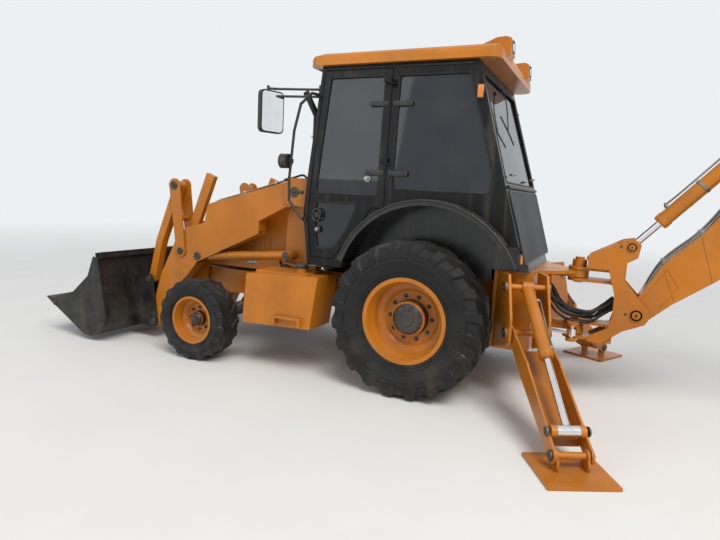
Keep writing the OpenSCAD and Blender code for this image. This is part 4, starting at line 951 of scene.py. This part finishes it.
# Pipes and clips on the loader arm's top as (X, Z), with the pipes' distances out
ARM_PIPE = ((1.420, 1.866), (1.900, 1.722), (2.240, 1.622), (2.306, 1.560), (2.352, 1.400))
ARM_CLIPS = ((1.520, 1.830), (1.900, 1.716), (2.200, 1.628))
ARM_LANES = (0.600, 0.628)
# The cutting edge: its tilt, the spot it is measured from, and its bolts (ahead, up) of that
EDGE_TILT = math.radians(-32.0)
EDGE_FROM = (3.576, 0.316)
EDGE_BOLT = (0.545, -0.234)


def dress_loader():
    pipes, clips, edge = (bmesh.new() for _ in range(3))
    for s, _ in SIDES:
        # Two pipes along the arm's top edge, down its bend towards the tilt levers
        for lane in ARM_LANES:
            tube(pipes, smooth_path([(x, lane * s, z) for x, z in ARM_PIPE], 5), PIPE, 8)
        for x, z in ARM_CLIPS:
            side_slab(clips, s, (x - 0.016, 0.584, z - 0.006), (x + 0.016, 0.644, z + 0.022))
    piece("arm_pipes", pipes, PIPES, "loader_arms")
    piece("arm_pipe_clips", clips, ZINC, "loader_arms")
    for s, side in SIDES:
        hose("arm_hose_" + side,
             [(1.170, 0.520 * s, 1.560), (1.120, 0.560 * s, 1.620), (1.118, 0.612 * s, 1.760),
              (1.200, 0.614 * s, 1.915), (1.330, 0.614 * s, 1.895), (1.430, 0.614 * s, 1.868)],
             MAIN_HOSE)
        hose("lift_hose_" + side,
             [(1.240, 0.600 * s, 0.905), (1.262, 0.622 * s, 0.940), (1.345, 0.632 * s, 0.972),
              (1.430, 0.628 * s, 1.005), (1.452, 0.625 * s, 1.046)], FINE_HOSE)
    # Bolts in the holes of the tilted cutting edge
    tilt = Matrix.Rotation(EDGE_TILT, 3, "Y")
    for i in range(8):
        spot = Vector((EDGE_FROM[0], -0.980 + 0.280 * i, EDGE_FROM[1]))
        spot += tilt @ Vector((EDGE_BOLT[0], 0, EDGE_BOLT[1]))
        lathe(edge, [(-0.030, 0.010), (0.002, 0.010), (0.002, 0.021), (0.009, 0.018), (0.011, 0.0)],
              spot, tilt @ Vector((0, 0, 1)), 20)
    piece("edge_bolts", edge, ZINC, "loader_bucket")


# Fine mesh of the nose: X of its upright wires, low and high, and how far left and right
MESH_X = 2.700
MESH_HEIGHTS = (0.690, 1.150)
MESH_ENDS = (-0.330, 0.330)
STACK_AT = (1.165, 0.487)


def dress_front():
    wires, metal, stack = (bmesh.new() for _ in range(3))
    for i in range(27):
        tube(wires, [(MESH_X, -0.325 + i * 0.025, z) for z in MESH_HEIGHTS], 0.0022, 4)
    for i in range(20):
        z = MESH_HEIGHTS[0] + i * 0.024
        tube(wires, [(MESH_X - 0.001, y, z) for y in MESH_ENDS], 0.0022, 4)
    piece("grille_mesh", wires, FITTINGS, "bonnet")
    # Catches and hand plates of the bonnet
    for s, _ in SIDES:
        for x, z in ((1.300, 1.180), (2.560, 0.980)):
            lathe(metal, [(0.0, 0.022), (0.006, 0.022), (0.009, 0.016), (0.009, 0.0)],
                  (x, 0.415 * s, z), (0, s, 0), 20)
        side_slab(metal, s, (1.880, 0.415, 0.955), (2.010, 0.421, 0.990), 0.003)
    piece("bonnet_latches", metal, ZINC, "bonnet")
    for z in (1.960, 2.300):
        lathe(stack, [(0.0, 0.033), (0.0, 0.037), (0.020, 0.037), (0.020, 0.033)], (*STACK_AT, z),
              (0, 0, 1), 24)
        slab(stack, (1.195, 0.478, z), (1.216, 0.496, z + 0.020), 0.002)
    piece("exhaust_clamps", stack, ZINC, "frame")


# On the left: the tank's filler cap, the inner low corner of the step, and a pipe to the valves
FILLER_AT = (1.090, 0.800, 1.0285)
STEP_FROM = (0.966, 1.006, 0.584)
TANK_PIPE = ((0.800, 0.700, 1.045), (1.000, 0.690, 1.052), (1.200, 0.670, 1.020),
             (1.360, 0.610, 1.030), (1.440, 0.585, 1.005))


def dress_tanks():
    dark, metal = bmesh.new(), bmesh.new()
    for s, _ in SIDES:
        lathe(dark, [(0.0, 0.058), (0.004, 0.064), (0.026, 0.064), (0.034, 0.054), (0.034, 0.0)],
              on_side(FILLER_AT, s), (0, 0, 1), 24)
        # Ribs of the step
        x, y, z = STEP_FROM
        for i in range(9):
            side_slab(metal, s, (x + i * 0.032, y, z), (x + i * 0.032 + 0.010, y + 0.044, z + 0.004),
                      0.0015)
        # Pipes that run over the tank to the valves
        for lane in (0.0, 0.030):
            tube(metal, smooth_path([(x, (y + lane) * s, z) for x, y, z in TANK_PIPE], 5), PIPE, 8)
    piece("tank_fittings", dark, FITTINGS, "frame")
    piece("tank_metal", metal, PIPES, "frame")


# Barrels of the backhoe's rams: (body, base, open end, radius, side that the pipe runs on)
BARRELS = (
    ("boom_barrel", Vector((-2.876, 0, 2.659)), Vector((-2.004, 0, 1.678)), 0.062, 1),
    ("dipper_barrel", Vector((-2.713, 0, 1.885)), Vector((-3.200, 0, 2.600)), 0.055, -1),
    ("bucket_barrel", Vector((-3.902, 0, 3.077)), Vector((-4.123, 0, 1.847)), 0.045, -1))
# How far along a barrel its pipe runs, and how far off the barrel's skin
FEED_RISES = ((0.10, 0.026), (0.14, 0.034), (0.50, 0.020), (0.88, 0.020), (0.92, 0.034),
              (0.93, 0.026))
# A leg ram's port and the pipe between its ports, both measured out from the barrel's axis
LEG_PORT = (0.044, 0.064, 0.074)
LEG_FEED = ((0.20, 0.070), (0.25, 0.076), (0.55, 0.064), (0.81, 0.066), (0.86, 0.070))
# Weld seams on the boom's sides, each through (along, up) points of the boom
SEAMS = (((0.30, -0.090), (0.42, 0.170)), ((0.62, -0.140), (0.80, 0.190)),
         ((0.16, -0.070), (0.40, -0.020), (0.44, 0.150), (0.10, 0.070)))


def ram_feed(builder, base, tip, up, port, ends, run):
    """A port at each end of a barrel's pipe. Port is how far out its foot, its collar and its end
    lie, ends are how far along the ports sit, and run is (how far along, how far out)."""
    foot, collar, end = port
    for t in ends:
        lathe(builder, [(foot, 0.018), (collar, 0.018), (collar, 0.012), (end, 0.012), (end, 0.0)],
              base.lerp(tip, t), up, 14)
    tube(builder, smooth_path([base.lerp(tip, t) + up * out for t, out in run], 4), FEED_PIPE, 8)


def dress_backhoe():
    for body, base, tip, radius, lane in BARRELS:
        builder = bmesh.new()
        ahead = (tip - base).normalized()
        ram_feed(builder, base, tip, ahead.cross(Vector((0, 1, 0))) * lane,
                 (radius - 0.004, radius + 0.018, radius + 0.030), (0.10, 0.93),
                 [(t, radius + rise) for t, rise in FEED_RISES])
        for t in (0.35, 0.70):
            lathe(builder, [(-0.012, radius + 0.001), (-0.012, radius + 0.005),
                            (0.012, radius + 0.005), (0.012, radius + 0.001)],
                  base.lerp(tip, t), ahead)
        piece(body + "_ports", builder, PIPES, body)
    for s, side in SIDES:
        builder = bmesh.new()
        top, low = (leg_point(out, 0.0, up, s) for out, up in (LEG_RAM_TOP, LEG_RAM_END))
        aside = leg_point(0, 1, 0, s) - leg_point(0, 0, 0, s)
        ram_feed(builder, top, low, aside, LEG_PORT, (0.20, 0.86), LEG_FEED)
        piece("leg_barrel_" + side + "_ports", builder, PIPES, "leg_barrel_" + side)
    seams = bmesh.new()
    for s, _ in SIDES:
        for run in SEAMS:
            spots = [Vector(boom_point(u, v, 0.1155 * s)) for u, v in run]
            fine = [a.lerp(b, i / 12) for a, b in zip(spots, spots[1:]) for i in range(12)]
            tube(seams, fine + spots[-1:], 0.0035, 6)
    piece("boom_seams", seams, MATERIALS["orange"], "boom")


dress_wheels()
dress_pins()
dress_hoses()
dress_windows()
dress_doors()
dress_lamps()
dress_cab()
dress_mirrors()
dress_seat()
dress_loader()
dress_front()
dress_tanks()
dress_backhoe()


# Stage, light and camera


def plane_floor():
    mesh = bpy.data.meshes.new("floor")
    builder = bmesh.new()
    bmesh.ops.create_grid(builder, x_segments=1, y_segments=1, size=60.0)
    builder.to_mesh(mesh)
    builder.free()
    floor = add_object("floor", mesh)
    material, tree, shader = new_material("floor_finish")
    place = own_place(tree)
    tone = mix_colour(tree, ramp(tree, noise(tree, place, 1.4, 6.0), 0.3, 0.7),
                      shade(FLOOR_GREY, 0.975), FLOOR_GREY)
    set_inputs(tree, shader, {"Base Color": tone, "Roughness": 0.85})
    # Far from the machine the floor turns into the backdrop
    far = add_node(tree, "ShaderNodeVectorMath", {0: place}, operation="LENGTH").outputs["Value"]
    glow = add_node(tree, "ShaderNodeEmission", {"Color": rgba(HORIZON), "Strength": 1.0})
    meet = add_node(tree, "ShaderNodeMixShader", {
        0: ramp(tree, far, 6.0, 24.0), 1: shader.outputs[0], 2: glow.outputs[0]})
    out = next(node for node in tree.nodes if node.type == "OUTPUT_MATERIAL")
    tree.links.new(meet.outputs[0], out.inputs[0])
    mesh.materials.append(material)


def add_light(name, kind, towards, power, colour, place=(0.0, 0.0, 0.0)):
    lamp = bpy.data.lights.new(name, kind)
    lamp.energy = power
    lamp.color = colour
    obj = add_object(name, lamp)
    obj.location = place
    obj.rotation_euler = Vector(towards).to_track_quat("-Z", "Y").to_euler()
    return lamp


def area_light(name, place, target, size, power, colour):
    lamp = add_light(name, "AREA", Vector(target) - Vector(place), power, colour, place)
    lamp.shape = "SQUARE"
    lamp.size = size


def studio_light():
    world = bpy.data.worlds.new("studio")
    bpy.context.scene.world = world
    world.use_nodes = True
    tree = world.node_tree
    tree.nodes.clear()
    soft = add_node(tree, "ShaderNodeBackground", {"Color": rgba(SKY), "Strength": 0.50})
    shown = add_node(tree, "ShaderNodeBackground", {"Color": rgba(HORIZON), "Strength": 1.0})
    path = tree.nodes.new("ShaderNodeLightPath").outputs
    seen = maths(tree, "MAXIMUM", path["Is Camera Ray"], path["Is Glossy Ray"])
    seen = maths(tree, "MAXIMUM", seen, path["Is Transmission Ray"])
    blend = add_node(tree, "ShaderNodeMixShader", {0: seen, 1: soft.outputs[0],
                                                   2: shown.outputs[0]})
    add_node(tree, "ShaderNodeOutputWorld", {0: blend.outputs[0]})
    area_light("key", (-6.0, 6.5, 9.0), (-0.2, 0.0, 1.2), 4.0, 520.0, (1.0, 0.96, 0.90))
    area_light("fill", (6.0, 8.0, 5.0), (0.5, 0.0, 1.0), 6.0, 120.0, (1.0, 1.0, 1.0))
    sun = add_light("sun", "SUN", (0.42, -0.52, -1.0), 1.25, (1.0, 0.97, 0.92))
    sun.angle = math.radians(28.0)


# The photograph's frame and lens, its camera measured from the rear axle
PHOTO_W = 720
FOCAL_PX = 562.9
SENSOR_MM = 36.0
CAMERA_AT = (-1.6657, 5.4967, 1.7689)
CAMERA_YAW = math.radians(24.44)
CAMERA_PITCH = math.radians(7.70)
CAMERA_ROLL = math.radians(2.87)


def photo_camera():
    lens = bpy.data.cameras.new("photo_camera")
    lens.sensor_width = SENSOR_MM
    lens.lens = FOCAL_PX / PHOTO_W * SENSOR_MM
    lens.clip_end = 300.0
    camera = add_object("photo_camera", lens)
    ahead = Vector((math.sin(CAMERA_YAW) * math.cos(CAMERA_PITCH),
                    -math.cos(CAMERA_YAW) * math.cos(CAMERA_PITCH), -math.sin(CAMERA_PITCH)))
    right = ahead.cross(Vector((0, 0, 1))).normalized()
    up = right.cross(ahead)
    c, s = math.cos(CAMERA_ROLL), math.sin(CAMERA_ROLL)
    turn = Matrix((right * c + up * s, up * c - right * s, -ahead)).transposed().to_4x4()
    camera.matrix_world = Matrix.Translation(Vector(CAMERA_AT)) @ turn
    bpy.context.scene.camera = camera


plane_floor()
studio_light()
photo_camera()
bpy.context.scene.view_settings.view_transform = "Standard"
